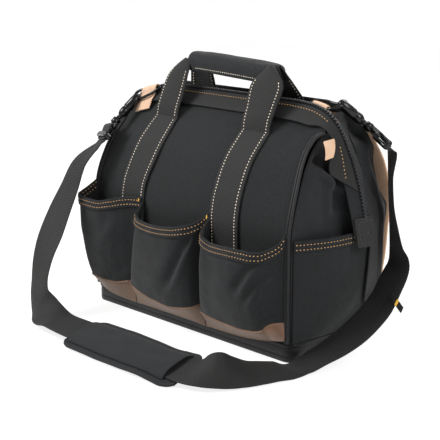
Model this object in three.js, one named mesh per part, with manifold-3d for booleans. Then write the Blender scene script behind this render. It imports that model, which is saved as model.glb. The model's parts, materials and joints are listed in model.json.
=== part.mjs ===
// A zip-top tool bag with three gathered front pockets, web handles, a padded grip and a shoulder strap.
// Millimetres, +Z up, X along the bag, front towards -Y, origin on the floor under the middle of the bag.
import * as THREE from 'three';
import { mergeVertices } from 'three/addons/utils/BufferGeometryUtils.js';
import Module from 'manifold-3d';

const wasm = await Module();
wasm.setup();

// Driving sizes
const LENGTH = 400;
const HALF = LENGTH / 2;
const CLOTH = 2;
const POCKET_CLOTH = 1.8;
const LEATHER = 2.2;
const WEB = 1.8;
const GAP = 0.3;
const BASE_HEIGHT = 27;
const BASE_DEPTH = 166;
const BASE_CORNER = 16;
const BASE_WALL = 2.5;
const PIPING_RADIUS = 3;
const MOUTH_BAND = 25;
const HEM = 13;
const HANDLE_SEWN_UP = 285;
const STRAP_WIDTH = 45;
const FRONT = -1;
const BACK = 1;

// Half depth of the body at its two ends and the extra crown at mid length, by height
const PANEL_ROWS = [
  { up: 0, depth: 82, crown: 0 },
  { up: 27, depth: 83, crown: 1 },
  { up: 90, depth: 84.5, crown: 4 },
  { up: 166, depth: 84, crown: 6 },
  { up: 191, depth: 80, crown: 8 },
  { up: 221, depth: 69, crown: 11 },
  { up: 251, depth: 53, crown: 14 },
  { up: 274, depth: 34, crown: 15 },
  { up: 292, depth: 19, crown: 13 },
  { up: 303, depth: 12, crown: 7.5 },
  { up: 312, depth: 8, crown: 5 },
];

// The zip line from mid length to one tongue's end: run along it, place, drift to the back, fall of the
// bands to each side, how far the bands turn in at the ends, and how far the left half sags
const MOUTH_ROWS = [
  { run: 0, x: 0, up: 327, drift: 0, fall: 48, tuck: 0, sag: 0 },
  { run: 120, x: 120, up: 327, drift: 0, fall: 48, tuck: 0, sag: 1 },
  { run: 155, x: 155, up: 325, drift: 0, fall: 48, tuck: 0, sag: 6 },
  { run: 178, x: 177, up: 320, drift: 0, fall: 45, tuck: 2, sag: 8 },
  { run: 196, x: 193, up: 311, drift: 0, fall: 38, tuck: 6, sag: 8 },
  { run: 214, x: 205, up: 297, drift: 2, fall: 28, tuck: 13, sag: 6 },
  { run: 234, x: 213, up: 279, drift: 5, fall: 16, tuck: 22, sag: 3 },
  { run: 262, x: 221, up: 252, drift: 11, fall: 6, tuck: 30, sag: 0 },
  { run: 298, x: 228, up: 217, drift: 17, fall: 0, tuck: 22, sag: 0 },
  { run: 334, x: 233, up: 181, drift: 21, fall: 0, tuck: 14, sag: 0 },
  { run: 370, x: 237, up: 145, drift: 24, fall: 0, tuck: 10, sag: 0 },
];

// How far an end swells past the piping, by height
const END_ROWS = [
  { up: 27, swell: 2, pocket: 0 },
  { up: 100, swell: 6, pocket: 9 },
  { up: 158, swell: 8, pocket: 14 },
  { up: 200, swell: 10, pocket: 14 },
  { up: 240, swell: 6, pocket: 14 },
  { up: 290, swell: 3, pocket: 14 },
];

// The tan sheet over the back, by height
const BACK_ROWS = [
  { up: 45, depth: 88.8 },
  { up: 70, depth: 97 },
  { up: 95, depth: 104.5 },
  { up: 149, depth: 120 },
  { up: 184, depth: 128.6 },
  { up: 235, depth: 115 },
  { up: 276, depth: 88 },
  { up: 300, depth: 64 },
  { up: 314, depth: 52 },
  { up: 327, depth: 46 },
];

// The gusset that closes the sheet's two ends: where it starts on the end and how far out its back edge is
const GUSSET_ROWS = [
  { up: 56, from: 48, edge: 202.4 },
  { up: 100, from: 48, edge: 197 },
  { up: 158, from: 47, edge: 196 },
  { up: 204, from: 45, edge: 196 },
  { up: 250, from: 42, edge: 196 },
  { up: 274, from: 37, edge: 196 },
];

// Front pockets: where each starts and ends along the bag, height of its mouth at the seams, how far the
// mouth dips and swells forward, how much of its width each side takes to swell, and its toe's share
const POCKETS = [
  { name: 'left', from: -192.8, to: -102.5, mouth: 176, dip: 0, swell: 40, rise: 0.25, fall: 0.4, toe: 0.55 },
  { name: 'middle', from: -98.5, to: 40.5, mouth: 170, dip: 18, swell: 44, rise: 0.45, fall: 0.2, toe: 0.6 },
  { name: 'right', from: 44.5, to: 192.8, mouth: 168, dip: 18, swell: 46, rise: 0.5, fall: 0.18, toe: 0.68 },
];

// How each pocket's two side seams stand off the panel, higher over a handle, and how its foot rises there
const SEAMS = {
  left: { from: 1.6, to: 4.6, heelFrom: 15, heelTo: 0 },
  middle: { from: 4.8, to: 1.6, heelFrom: 0, heelTo: 0 },
  right: { from: 2.4, to: 1.6, heelFrom: 0, heelTo: 15 },
};
const POCKET_BOTTOM = 46;
const POCKET_CORNER_RISE = 12;
const FOOT_LOW = 16.5;
const FOOT_DEPTH = 86.4;
const FOOT_LEATHER = 2.4;

// Creases pressed into the pockets, from one place to another in shares of the pocket's width and height
const CREASES = [
  { pocket: 'left', across: 0.62, up: 0.8, toAcross: 0.4, toUp: 0.25, deep: 3, wide: 0.1 },
  { pocket: 'middle', across: 0.82, up: 0.82, toAcross: 0.5, toUp: 0.2, deep: 4, wide: 0.09 },
  { pocket: 'right', across: 0.8, up: 0.85, toAcross: 0.42, toUp: 0.25, deep: 5, wide: 0.09 },
  { pocket: 'right', across: 0.93, up: 0.6, toAcross: 0.66, toUp: 0.14, deep: 4, wide: 0.08 },
];
const SWELL_ROWS = [
  { part: 0, share: 0 },
  { part: 0.12, share: 0.5 },
  { part: 0.3, share: 0.8 },
  { part: 0.6, share: 0.97 },
  { part: 1, share: 1 },
];

// Handle legs, the same in front and behind: middle of the web and its width, by height
const LEGS = [
  {
    name: 'left',
    rows: [
      { up: 50, x: -108, width: 51 },
      { up: 183, x: -106, width: 51 },
      { up: 288, x: -88, width: 51 },
      { up: 320, x: -78, width: 44 },
      { up: 350.9, x: -66, width: 32 },
    ],
  },
  {
    name: 'right',
    rows: [
      { up: 50, x: 84, width: 51 },
      { up: 173, x: 84, width: 51 },
      { up: 288, x: 88, width: 51 },
      { up: 320, x: 84, width: 50 },
      { up: 348.1, x: 76, width: 42 },
    ],
  },
];
const LEG_LIFT = 0.8;
const LEG_LOW = { front: 56, back: 72 };
const LEG_GRIP_DEPTH = 9;
const LEG_BOW = 8;

// The wrapped grip, from its left end to its right end
const GRIP_ROWS = [
  { x: -82, up: 362, size: 0.35 },
  { x: -78, up: 363, size: 0.7 },
  { x: -69, up: 364, size: 0.95 },
  { x: -50, up: 364.5, size: 1 },
  { x: 58, up: 363, size: 1 },
  { x: 80, up: 361, size: 0.95 },
  { x: 89, up: 359.5, size: 0.75 },
  { x: 94, up: 358.5, size: 0.4 },
];
const GRIP_HALF_HEIGHT = 14.8;
const GRIP_HALF_DEPTH = 17.5;

// A ring tab's leather in the band's own plane, from its sewn end to its eye: down the band, off the band
const TAB_ROWS = [
  { down: 46, off: -0.4 },
  { down: 38, off: 1.2 },
  { down: 31, off: 3.9 },
  { down: 22, off: 4.2 },
  { down: 14.5, off: 7.4 },
  { down: 11.8, off: 9.6 },
  { down: 9, off: 10.7 },
  { down: 6.1, off: 9.5 },
  { down: 5.2, off: 6.9 },
  { down: 6.6, off: 4.2 },
];
const TAB_WIDTH = 24;

// The wire ring: along the bag towards its hook, down the band, and its share of the ring's lift
const RING_ROWS = [
  { along: -18, down: 9, lift: 0 },
  { along: -9, down: 9, lift: 0 },
  { along: 0, down: 9, lift: 0 },
  { along: 9, down: 9, lift: 0 },
  { along: 18, down: 9, lift: 0 },
  { along: 25, down: 13, lift: 0.45 },
  { along: 27, down: 19, lift: 0.8 },
  { along: 22, down: 25, lift: 1 },
  { along: 10, down: 27, lift: 1 },
  { along: -4, down: 24, lift: 0.85 },
  { along: -14, down: 17, lift: 0.55 },
];
const RING_BAR_DOWN = 9;
const RING_OFF = 6.9;
const RING_WIRE = 1.7;

// The two ends of the shoulder strap: ring tab place, which way the ring is pulled, how far it reaches
// down the band and lifts off it, the hook's direction, and the plan angle of the strap's width there
const STRAP_ENDS = [
  {
    name: 'left',
    x: -154,
    side: FRONT,
    pull: -1,
    reach: 1,
    lift: 2.6,
    aim: [-0.22, -0.69, -0.69],
    turn: -35,
  },
  {
    name: 'right',
    x: 160,
    side: BACK,
    pull: 1,
    reach: 0.45,
    lift: 16,
    aim: [0.403, 0.662, -0.633],
    turn: 140,
  },
];
const HOOK_NOSE = 5.6;
const HOOK_NOSE_WIRE = 1.6;
const HOOK_SEAT = 1.5;
const BARREL_RADIUS = 6.2;
const BARREL_ROWS = [
  { along: 7.5, share: 0 },
  { along: 7.5, share: 0.55 },
  { along: 11.5, share: 0.9 },
  { along: 17.5, share: 1 },
  { along: 36, share: 1 },
  { along: 42, share: 0.8 },
  { along: 44, share: 0.45 },
  { along: 48, share: 0.45 },
  { along: 48, share: 0 },
];
const EYE_FROM = 46;
const EYE_TO = 61;
const EYE_WIRE = 4;
const EYE_WIDTH = 56;
const LOOP_LENGTH = 26;
const LOOP_OFF = 4.2;

// The web loop round the hook's bar: place along the strap, and share of the loop's half thickness
const LOOP_ROWS = [
  { along: 22, off: -1 },
  { along: 13, off: -1 },
  { along: 0.5, off: -1 },
  { along: -2.94, off: -0.72 },
  { along: -4.2, off: 0 },
  { along: -2.94, off: 0.72 },
  { along: 0.5, off: 1 },
  { along: 13, off: 1 },
  { along: 25.4, off: 1 },
];
const SLIDE_AT = 15;
const SLIDE_DEEP = 6;
const SLIDE_HIGH = 17;
const SLIDE_WIRE = 2.6;

// The shoulder strap's route, chosen by hand: middle of the web, plan angle and pitch of its width
const STRAP_ROUTE = [
  { x: -210, y: -106, z: 208, turn: -26, pitch: 0 },
  { x: -213, y: -122, z: 176, turn: -12, pitch: 0 },
  { x: -211, y: -142, z: 145, turn: 2, pitch: 0 },
  { x: -204, y: -164, z: 114, turn: 8, pitch: 0 },
  { x: -197, y: -182, z: 87, turn: 0, pitch: 4 },
  { x: -189, y: -194, z: 66, turn: -6, pitch: 8 },
  { x: -180, y: -204, z: 46, turn: -2, pitch: 24 },
  { x: -166, y: -212, z: 30, turn: 12, pitch: 50 },
  { x: -143, y: -219, z: 21, turn: 60, pitch: 54 },
  { x: -106, y: -223, z: 17.5, turn: 88, pitch: 28 },
  { x: -62, y: -224, z: 16.5, turn: 90, pitch: 14 },
  { x: 0, y: -224, z: 16.5, turn: 90, pitch: 14 },
  { x: 60, y: -224, z: 16.5, turn: 90, pitch: 14 },
  { x: 120, y: -224, z: 16.5, turn: 90, pitch: 14 },
  { x: 166, y: -223, z: 17.2, turn: 91, pitch: 17 },
  { x: 187, y: -218, z: 21.5, turn: 104, pitch: 56 },
  { x: 201, y: -206, z: 23.4, turn: 128, pitch: 82 },
  { x: 207, y: -184, z: 17.6, turn: 150, pitch: 46 },
  { x: 212, y: -156, z: 11, turn: 168, pitch: 25 },
  { x: 217, y: -135, z: 8.9, turn: 172, pitch: 19 },
  { x: 221, y: -116, z: 6.4, turn: 176, pitch: 12 },
  { x: 224, y: -90, z: 3.4, turn: 176, pitch: -3 },
  { x: 231, y: -62, z: 13, turn: 168, pitch: 4 },
  { x: 237, y: -34, z: 22.5, turn: 168, pitch: 10 },
  { x: 242, y: 1, z: 38, turn: 170, pitch: 16 },
  { x: 246, y: 37, z: 63, turn: 172, pitch: 18 },
  { x: 247, y: 57, z: 87, turn: 172, pitch: 14 },
  { x: 243, y: 77, z: 112, turn: 174, pitch: 3 },
  { x: 236, y: 82, z: 132, turn: 167, pitch: 0 },
  { x: 230, y: 83, z: 161, turn: 157, pitch: 0 },
  { x: 226, y: 82, z: 190, turn: 150, pitch: 0 },
  { x: 223, y: 82, z: 226, turn: 144, pitch: 0 },
];
const STRAP_LEAD = 8;
const PAD_FROM_X = -58;
const PAD_TO_X = 160;
const PAD_FOAM = 5;
const PAD_ROWS = [
  { part: 0, half: 20 },
  { part: 0.03, half: 27 },
  { part: 0.09, half: 32 },
  { part: 0.91, half: 32 },
  { part: 0.97, half: 27 },
  { part: 1, half: 20 },
];

// Finishes
const blackCloth = new THREE.MeshStandardMaterial({ color: 0x2d2e30, roughness: 0.85 });
const blackWeb = new THREE.MeshStandardMaterial({ color: 0x29282a, roughness: 0.75 });
const blackCoated = new THREE.MeshStandardMaterial({ color: 0x202123, roughness: 0.5 });
const tanLeather = new THREE.MeshStandardMaterial({ color: 0xe6bd98, roughness: 0.6 });
const brownLeather = new THREE.MeshStandardMaterial({ color: 0x6e5f52, roughness: 0.55 });
const blackMetal = new THREE.MeshStandardMaterial({ color: 0x101012, roughness: 0.25, metalness: 0.6 });
const zipTeeth = new THREE.MeshStandardMaterial({ color: 0x18181a, roughness: 0.4 });

const bag = new THREE.Group();

// The pockets reach further forward than the sheet reaches back, so every piece moves back by half of that
const CENTRE_SHIFT = 5;
function addPiece(name, geometry, material) {
  const mesh = new THREE.Mesh(geometry, material);
  mesh.position.y = CENTRE_SHIFT;
  mesh.name = name;
  bag.add(mesh);
}

// Small helpers for numbers and tables
const mix = (a, b, t) => a + (b - a) * t;
const radians = THREE.MathUtils.degToRad;
const clamp01 = (t) => Math.min(1, Math.max(0, t));
const ease = (t) => clamp01(t) ** 2 * (3 - 2 * clamp01(t));

// A smooth curve through one named column of a table, with no overshoot between rows
function column(rows, key, name) {
  const xs = rows.map((row) => row[key]);
  const ys = rows.map((row) => row[name]);
  const last = xs.length - 1;
  const steps = xs.slice(1).map((x, i) => (ys[i + 1] - ys[i]) / (x - xs[i]));
  const slopes = xs.map((x, i) => {
    if (i === 0) return steps[0];
    if (i === last) return steps[last - 1];
    const product = steps[i - 1] * steps[i];
    return product <= 0 ? 0 : (2 * product) / (steps[i - 1] + steps[i]);
  });
  return (x) => {
    const at = Math.min(Math.max(x, xs[0]), xs[last]);
    const i = Math.min(Math.max(xs.findIndex((value) => value >= at) - 1, 0), last - 1);
    const wide = xs[i + 1] - xs[i];
    const t = (at - xs[i]) / wide;
    const rise = ys[i + 1] - ys[i];
    const bend = (slopes[i] * wide - rise) * (1 - t) - (slopes[i + 1] * wide - rise) * t;
    return ys[i] + rise * t + t * (1 - t) * bend;
  };
}

// A geometry from vertices and triangles
function meshOf(vertices, triangles) {
  const geometry = new THREE.BufferGeometry();
  const flat = vertices.flatMap((point) => [point.x, point.y, point.z]);
  geometry.setAttribute('position', new THREE.Float32BufferAttribute(flat, 3));
  geometry.setIndex(triangles.flat());
  geometry.computeVertexNormals();
  return geometry;
}

// Two triangles over four corners taken anticlockwise
const quad = (a, b, c, d) => [[a, b, c], [a, c, d]];

// The surface's direction out at a place, kept level where layers are stacked by height
function outward(surface, u, v, level) {
  const step = 0.002;
  const before = [Math.max(0, u - step), Math.max(0, v - step)];
  const after = [Math.min(1, u + step), Math.min(1, v + step)];
  const acrossWay = surface(after[0], v).sub(surface(before[0], v));
  const alongWay = surface(u, after[1]).sub(surface(u, before[1]));
  const way = acrossWay.cross(alongWay);
  if (level) way.z = 0;
  return way.normalize();
}

// A closed wall between two offsets of a surface(u, v), on a grid of across by along steps
function wall(surface, { across, along, low, high, level = false, spread = (u) => u }) {
  const row = across + 1;
  const layer = row * (along + 1);
  const inner = [];
  const outer = [];
  for (let j = 0; j <= along; j += 1) {
    for (let i = 0; i <= across; i += 1) {
      const u = spread(i / across);
      const v = j / along;
      const point = surface(u, v);
      const way = outward(surface, u, v, level);
      inner.push(point.clone().addScaledVector(way, typeof low === 'function' ? low(u, v) : low));
      outer.push(point.clone().addScaledVector(way, typeof high === 'function' ? high(u, v) : high));
    }
  }
  const triangles = [];
  for (let j = 0; j < along; j += 1) {
    for (let i = 0; i < across; i += 1) {
      const a = j * row + i;
      triangles.push(...quad(layer + a, layer + a + 1, layer + a + row + 1, layer + a + row));
      triangles.push(...quad(a, a + row, a + row + 1, a + 1));
    }
  }
  for (let i = 0; i < across; i += 1) {
    const top = along * row + i;
    triangles.push(...quad(i, i + 1, layer + i + 1, layer + i));
    triangles.push(...quad(top + 1, top, layer + top, layer + top + 1));
  }
  for (let j = 0; j < along; j += 1) {
    const left = j * row;
    const right = left + across;
    triangles.push(...quad(left + row, left, layer + left, layer + left + row));
    triangles.push(...quad(right, right + row, layer + right + row, layer + right));
  }
  return meshOf([...inner, ...outer], triangles);
}

// Grid lines gathered towards both ends, for pockets with steep sides
const gathered = (u) => (1 - Math.cos(Math.PI * u)) / 2;

// A round tube along a curve
function tube(curve, radius, sides, steps) {
  const ring = [...Array(sides).keys()].map((k) => (2 * Math.PI * k) / sides);
  const corners = ring.map((a) => new THREE.Vector2(radius * Math.cos(a), radius * Math.sin(a)));
  const outline = new THREE.Shape(corners);
  return new THREE.ExtrudeGeometry(outline, { steps, extrudePath: curve, bevelEnabled: false });
}

// A closed ring of wire along a closed curve
function wireRing(curve, radius, steps, sides) {
  const { tangents } = curve.computeFrenetFrames(steps, true);
  const middle = new THREE.Vector3();
  for (let i = 0; i < steps; i += 1) middle.addScaledVector(curve.getPointAt(i / steps), 1 / steps);
  const vertices = [];
  for (let i = 0; i < steps; i += 1) {
    const point = curve.getPointAt(i / steps);
    const side = new THREE.Vector3().crossVectors(tangents[i], point.clone().sub(middle)).normalize();
    const out = new THREE.Vector3().crossVectors(side, tangents[i]);
    for (let k = 0; k < sides; k += 1) {
      const angle = (2 * Math.PI * k) / sides;
      const spot = point.clone().addScaledVector(out, radius * Math.cos(angle));
      vertices.push(spot.addScaledVector(side, radius * Math.sin(angle)));
    }
  }
  const triangles = [];
  for (let i = 0; i < steps; i += 1) {
    const next = (i + 1) % steps;
    for (let k = 0; k < sides; k += 1) {
      const turn = (k + 1) % sides;
      triangles.push(...quad(i * sides + k, i * sides + turn, next * sides + turn, next * sides + k));
    }
  }
  return meshOf(vertices, triangles);
}

// A body lofted through rings of points, closed at both ends
function loft(rings) {
  const sides = rings[0].length;
  const vertices = rings.flat();
  const triangles = [];
  for (let i = 0; i < rings.length - 1; i += 1) {
    for (let k = 0; k < sides; k += 1) {
      const turn = (k + 1) % sides;
      const a = i * sides;
      triangles.push(...quad(a + k, a + turn, a + sides + turn, a + sides + k));
    }
  }
  const end = (rings.length - 1) * sides;
  for (let k = 1; k < sides - 1; k += 1) {
    triangles.push([0, k + 1, k]);
    triangles.push([end, end + k, end + k + 1]);
  }
  return meshOf(vertices, triangles);
}

// Joins and cuts of closed bodies
const WELD = 1e-4;
function solid(geometry) {
  const bare = geometry.clone();
  bare.deleteAttribute('normal');
  bare.deleteAttribute('uv');
  const merged = mergeVertices(bare, WELD);
  const vertProperties = new Float32Array(merged.attributes.position.array);
  const triVerts = new Uint32Array(merged.index.array);
  return new wasm.Manifold(new wasm.Mesh({ numProp: 3, vertProperties, triVerts }));
}

function geometryOf(body) {
  const mesh = body.getMesh();
  const geometry = new THREE.BufferGeometry();
  geometry.setAttribute('position', new THREE.BufferAttribute(new Float32Array(mesh.vertProperties), 3));
  geometry.setIndex(new THREE.BufferAttribute(new Uint32Array(mesh.triVerts), 1));
  geometry.computeVertexNormals();
  return geometry;
}

const join = (...pieces) => geometryOf(pieces.map(solid).reduce((sum, piece) => sum.add(piece)));
const cut = (whole, hole) => geometryOf(solid(whole).subtract(solid(hole)));

// A rectangle with round corners
function roundedRectangle(wide, high, corner) {
  const x = wide / 2;
  const y = high / 2;
  const shape = new THREE.Shape();
  shape.moveTo(-x + corner, -y);
  shape.lineTo(x - corner, -y);
  shape.absarc(x - corner, -y + corner, corner, -Math.PI / 2, 0);
  shape.lineTo(x, y - corner);
  shape.absarc(x - corner, y - corner, corner, 0, Math.PI / 2);
  shape.lineTo(-x + corner, y);
  shape.absarc(-x + corner, y - corner, corner, Math.PI / 2, Math.PI);
  shape.lineTo(-x, -y + corner);
  shape.absarc(-x + corner, -y + corner, corner, Math.PI, 1.5 * Math.PI);
  return shape;
}

// Base: a coated tray whose rim carries the panels
const CORNER_STEPS = 4;
const FLOOR = 3;
const TRAY_LIP = 3;
const TRAY_LENGTH = LENGTH + 2 * TRAY_LIP;
const plainExtrude = (depth) => ({ depth, bevelEnabled: false, curveSegments: CORNER_STEPS });
const trayOuter = new THREE.ExtrudeGeometry(
  roundedRectangle(TRAY_LENGTH, BASE_DEPTH, BASE_CORNER),
  plainExtrude(BASE_HEIGHT),
);
const trayInner = new THREE.ExtrudeGeometry(
  roundedRectangle(TRAY_LENGTH - 2 * BASE_WALL, BASE_DEPTH - 2 * BASE_WALL, BASE_CORNER - BASE_WALL),
  plainExtrude(BASE_HEIGHT),
).translate(0, 0, FLOOR);
addPiece('base_tray', cut(trayOuter, trayInner), blackCoated);

// The zip line, its bands and its tongues
const mouthX = column(MOUTH_ROWS, 'run', 'x');
const mouthUp = column(MOUTH_ROWS, 'run', 'up');
const mouthDrift = column(MOUTH_ROWS, 'run', 'drift');
const mouthFall = column(MOUTH_ROWS, 'run', 'fall');
const mouthTuck = column(MOUTH_ROWS, 'run', 'tuck');
const mouthSag = column(MOUTH_ROWS, 'run', 'sag');
const evenRidgeUp = column(MOUTH_ROWS, 'x', 'up');
const evenRidgeSag = column(MOUTH_ROWS, 'x', 'sag');
const ridgeSag = (x) => (x < 0 ? evenRidgeSag(-x) : 0);
const ridgeUp = (x) => evenRidgeUp(Math.abs(x)) - ridgeSag(x);

// A place on the mouth: run along the zip, then off it to one side
function mouthPoint(run, off, side) {
  const way = Math.abs(run);
  const end = Math.sign(run);
  const fall = radians(mouthFall(way));
  const tuck = radians(mouthTuck(way));
  const x = end * (mouthX(way) - off * Math.sin(tuck));
  const y = mouthDrift(way) + side * off * Math.cos(tuck) * Math.cos(fall);
  const sag = end < 0 ? mouthSag(way) : 0;
  return new THREE.Vector3(x, y, mouthUp(way) - sag - off * Math.sin(fall));
}

// Bands, tape, chain and tabs share these stations along the mouth, so their layers stay apart
const STATION = 18.45;
const BAND_STATIONS = 16;
const CHAIN_STATIONS = 17;
const TAPE_STATIONS = 20;
const BAND_FROM = 4.5;
const BAND_THICK = 1.6;
for (const side of [FRONT, BACK]) {
  const reach = -side * BAND_STATIONS * STATION;
  const band = (u, v) => mouthPoint(mix(-reach, reach, v), BAND_FROM + MOUTH_BAND * u, side);
  const name = side === FRONT ? 'mouth_band_front' : 'mouth_band_back';
  addPiece(name, wall(band, { across: 1, along: 2 * BAND_STATIONS, low: 0, high: BAND_THICK }), blackWeb);
}

// The zip's tape is narrow on top and widens into a hanging tongue at each end
const TAPE_ROWS = [
  { run: 0, front: 7, back: 7 },
  { run: 226, front: 7, back: 7 },
  { run: 268, front: 19, back: 15 },
  { run: 300, front: 20, back: 16 },
  { run: 370, front: 18, back: 15 },
];
const tapeFront = column(TAPE_ROWS, 'run', 'front');
const tapeBack = column(TAPE_ROWS, 'run', 'back');
const TAPE_THICK = 1.3;
const TAPE_BELOW = 0.7;
const tape = (u, v) => {
  const run = mix(TAPE_STATIONS, -TAPE_STATIONS, v) * STATION;
  const half = u < 0.5 ? tapeFront(Math.abs(run)) : tapeBack(Math.abs(run));
  return mouthPoint(run, Math.abs(2 * u - 1) * half, u < 0.5 ? FRONT : BACK);
};
const tapeGrid = { across: 2, along: 2 * TAPE_STATIONS, low: -TAPE_BELOW - TAPE_THICK, high: -TAPE_BELOW };
addPiece('zip_tape', wall(tape, tapeGrid), blackCloth);

const CHAIN_HALF = 2.6;
const CHAIN_HIGH = 1.8;
const chain = (u, v) => {
  const off = (2 * u - 1) * CHAIN_HALF;
  const run = mix(CHAIN_STATIONS, -CHAIN_STATIONS, v) * STATION;
  return mouthPoint(run, Math.abs(off), off < 0 ? FRONT : BACK);
};
const chainGrid = { across: 2, along: 2 * CHAIN_STATIONS, low: 0, high: CHAIN_HIGH };
addPiece('zip_chain', wall(chain, chainGrid), zipTeeth);

// Square tab sewn over each tongue's end
const TAB_STATIONS = 2;
const END_TAB_HALF = 17;
for (const end of [-1, 1]) {
  const tab = (u, v) => {
    const off = (2 * u - 1) * END_TAB_HALF * end;
    const run = end * (TAPE_STATIONS - TAB_STATIONS * v) * STATION;
    return mouthPoint(run, Math.abs(off), off < 0 ? FRONT : BACK);
  };
  const name = end < 0 ? 'zip_end_tab_left' : 'zip_end_tab_right';
  addPiece(name, wall(tab, { across: 2, along: TAB_STATIONS, low: 0, high: WEB }), blackWeb);
}

// Front and back panels: upright below, leaning in to the mouth
const evenDepth = column(PANEL_ROWS, 'up', 'depth');
const evenCrown = column(PANEL_ROWS, 'up', 'crown');
const SAG_FROM = 190;
const SAG_RISE = 90;
function panelDepth(x, up) {
  const level = up + ridgeSag(x) * ease((up - SAG_FROM) / SAG_RISE);
  return evenDepth(level) + evenCrown(level) * (1 - (x / HALF) ** 2);
}

// Grid lines up a panel: few on the straight lower half, many on the curved upper half
const LOWER_LINES = 0.2;
const LOWER_SHARE = 0.5;
const LEG_LOWER_SHARE = 0.35;
function linesUp(v, lower = LOWER_SHARE) {
  if (v < LOWER_LINES) return (v / LOWER_LINES) * lower;
  return mix(lower, 1, (v - LOWER_LINES) / (1 - LOWER_LINES));
}
const PANEL_HALF = HALF - 2 * PIPING_RADIUS - GAP;
const PANEL_LOW = BASE_HEIGHT + GAP;
const PANEL_BELOW_RIDGE = 21;
for (const side of [FRONT, BACK]) {
  const panel = (u, v) => {
    const x = -side * mix(-PANEL_HALF, PANEL_HALF, u);
    const up = mix(PANEL_LOW, ridgeUp(x) - PANEL_BELOW_RIDGE, linesUp(v));
    return new THREE.Vector3(x, side * panelDepth(x, up), up);
  };
  const name = side === FRONT ? 'front_panel' : 'back_panel';
  addPiece(name, wall(panel, { across: 10, along: 10, low: -CLOTH, high: 0, level: true }), blackCloth);
}

// Piping up each corner
const PIPING_TOP = 278;
const PIPING_POINTS = 15;
const PIPING_SIDES = 6;
const PIPING_STEPS = 14;
for (const side of [FRONT, BACK]) {
  for (const end of [-1, 1]) {
    const points = [...Array(PIPING_POINTS).keys()].map((k) => {
      const up = mix(PANEL_LOW, PIPING_TOP - ridgeSag(end * HALF), k / (PIPING_POINTS - 1));
      return new THREE.Vector3(end * (HALF - PIPING_RADIUS), side * panelDepth(end * HALF, up), up);
    });
    const name = `piping_${side === FRONT ? 'front' : 'back'}_${end < 0 ? 'left' : 'right'}`;
    const cord = tube(new THREE.CatmullRomCurve3(points), PIPING_RADIUS, PIPING_SIDES, PIPING_STEPS);
    addPiece(name, cord, blackCoated);
  }
}

// Ends: a swelling panel that tucks in beside the tongue, under a soft lip
const endSwell = column(END_ROWS, 'up', 'swell');
const endPocketSwell = column(END_ROWS, 'up', 'pocket');
const TUCK_DEEP = 27;
const TUCK_TOP = 266;
const TUCK_FADE = 22;
const LIP_UP = 246;
const LIP_DROP = 20;
const LIP_REACH = 42;
const LIP_SOFT = 16;
const WINDOW_INNER = 10;
const WINDOW_OUTER = 14;
function endDepth(up, end) {
  const slope = (panelDepth(end * HALF, up + 1) - panelDepth(end * HALF, up - 1)) / 2;
  return panelDepth(end * HALF, up) - (PIPING_RADIUS + 2 * GAP) * Math.hypot(1, slope);
}
function endX(y, up, end) {
  const depth = endDepth(up, end);
  const share = Math.min(1, Math.abs(y) / depth);
  const lip = LIP_UP - LIP_DROP * clamp01(1 - Math.abs(y) / LIP_REACH);
  const rise = ease((up - lip) / LIP_SOFT) * (1 - ease((up - TUCK_TOP) / TUCK_FADE));
  const window = ease(Math.abs(y) / WINDOW_INNER) * ease((depth - Math.abs(y)) / WINDOW_OUTER);
  return HALF + endSwell(up) * (1 - share ** 2) - TUCK_DEEP * rise * window;
}
const END_TOP = 275;
for (const end of [-1, 1]) {
  const panel = (u, v) => {
    const up = mix(PANEL_LOW, END_TOP, linesUp(v));
    const y = end * mix(-endDepth(up, end), endDepth(up, end), u);
    return new THREE.Vector3(end * endX(y, up, end), y, up);
  };
  const name = end < 0 ? 'end_panel_left' : 'end_panel_right';
  addPiece(name, wall(panel, { across: 12, along: 10, low: -CLOTH, high: 0 }), blackCloth);
}

// End pockets, open on top, with a hem
const END_POCKET_TOP = 158;
const END_POCKET_HALF = 79;
const END_POCKET_LIFT = 2.4;
function endPocketX(y, up, end) {
  return endX(y, up, end) + END_POCKET_LIFT + endPocketSwell(up) * (1 - (y / END_POCKET_HALF) ** 2);
}
for (const end of [-1, 1]) {
  const face = (u, up) => {
    const y = end * mix(-END_POCKET_HALF, END_POCKET_HALF, u);
    return new THREE.Vector3(end * endPocketX(y, up, end), y, up);
  };
  const pocket = (u, v) => face(u, mix(PANEL_LOW + GAP, END_POCKET_TOP, v));
  const hem = (u, v) => face(u, mix(END_POCKET_TOP - HEM, END_POCKET_TOP, v));
  const side = end < 0 ? 'left' : 'right';
  const lower = { across: 8, along: 4, low: -POCKET_CLOTH, high: 0, level: true };
  const upper = { across: 8, along: 1, low: GAP, high: WEB, level: true };
  addPiece(`end_pocket_${side}`, wall(pocket, lower), blackCloth);
  addPiece(`end_pocket_hem_${side}`, wall(hem, upper), blackCloth);
}

// Front pockets with gathered mouths, doubled hems and leather feet
const swellShare = column(SWELL_ROWS, 'part', 'share');
const quarterTurn = (t) => Math.sin((Math.PI / 2) * clamp01(t));
const pocketOut = (pocket, u) => quarterTurn(u / pocket.rise) * quarterTurn((1 - u) / pocket.fall);

// How deep the creases press in at a place on a pocket
function creaseDepth(pocket, u, v) {
  return CREASES.filter((crease) => crease.pocket === pocket.name).reduce((sum, crease) => {
    const start = new THREE.Vector3(crease.across, crease.up, 0);
    const finish = new THREE.Vector3(crease.toAcross, crease.toUp, 0);
    const nearest = new THREE.Vector3();
    new THREE.Line3(start, finish).closestPointToPoint(new THREE.Vector3(u, v, 0), true, nearest);
    const away = Math.hypot(nearest.x - u, nearest.y - v) / crease.wide;
    return sum + crease.deep * Math.exp(-away * away);
  }, 0);
}

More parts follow.
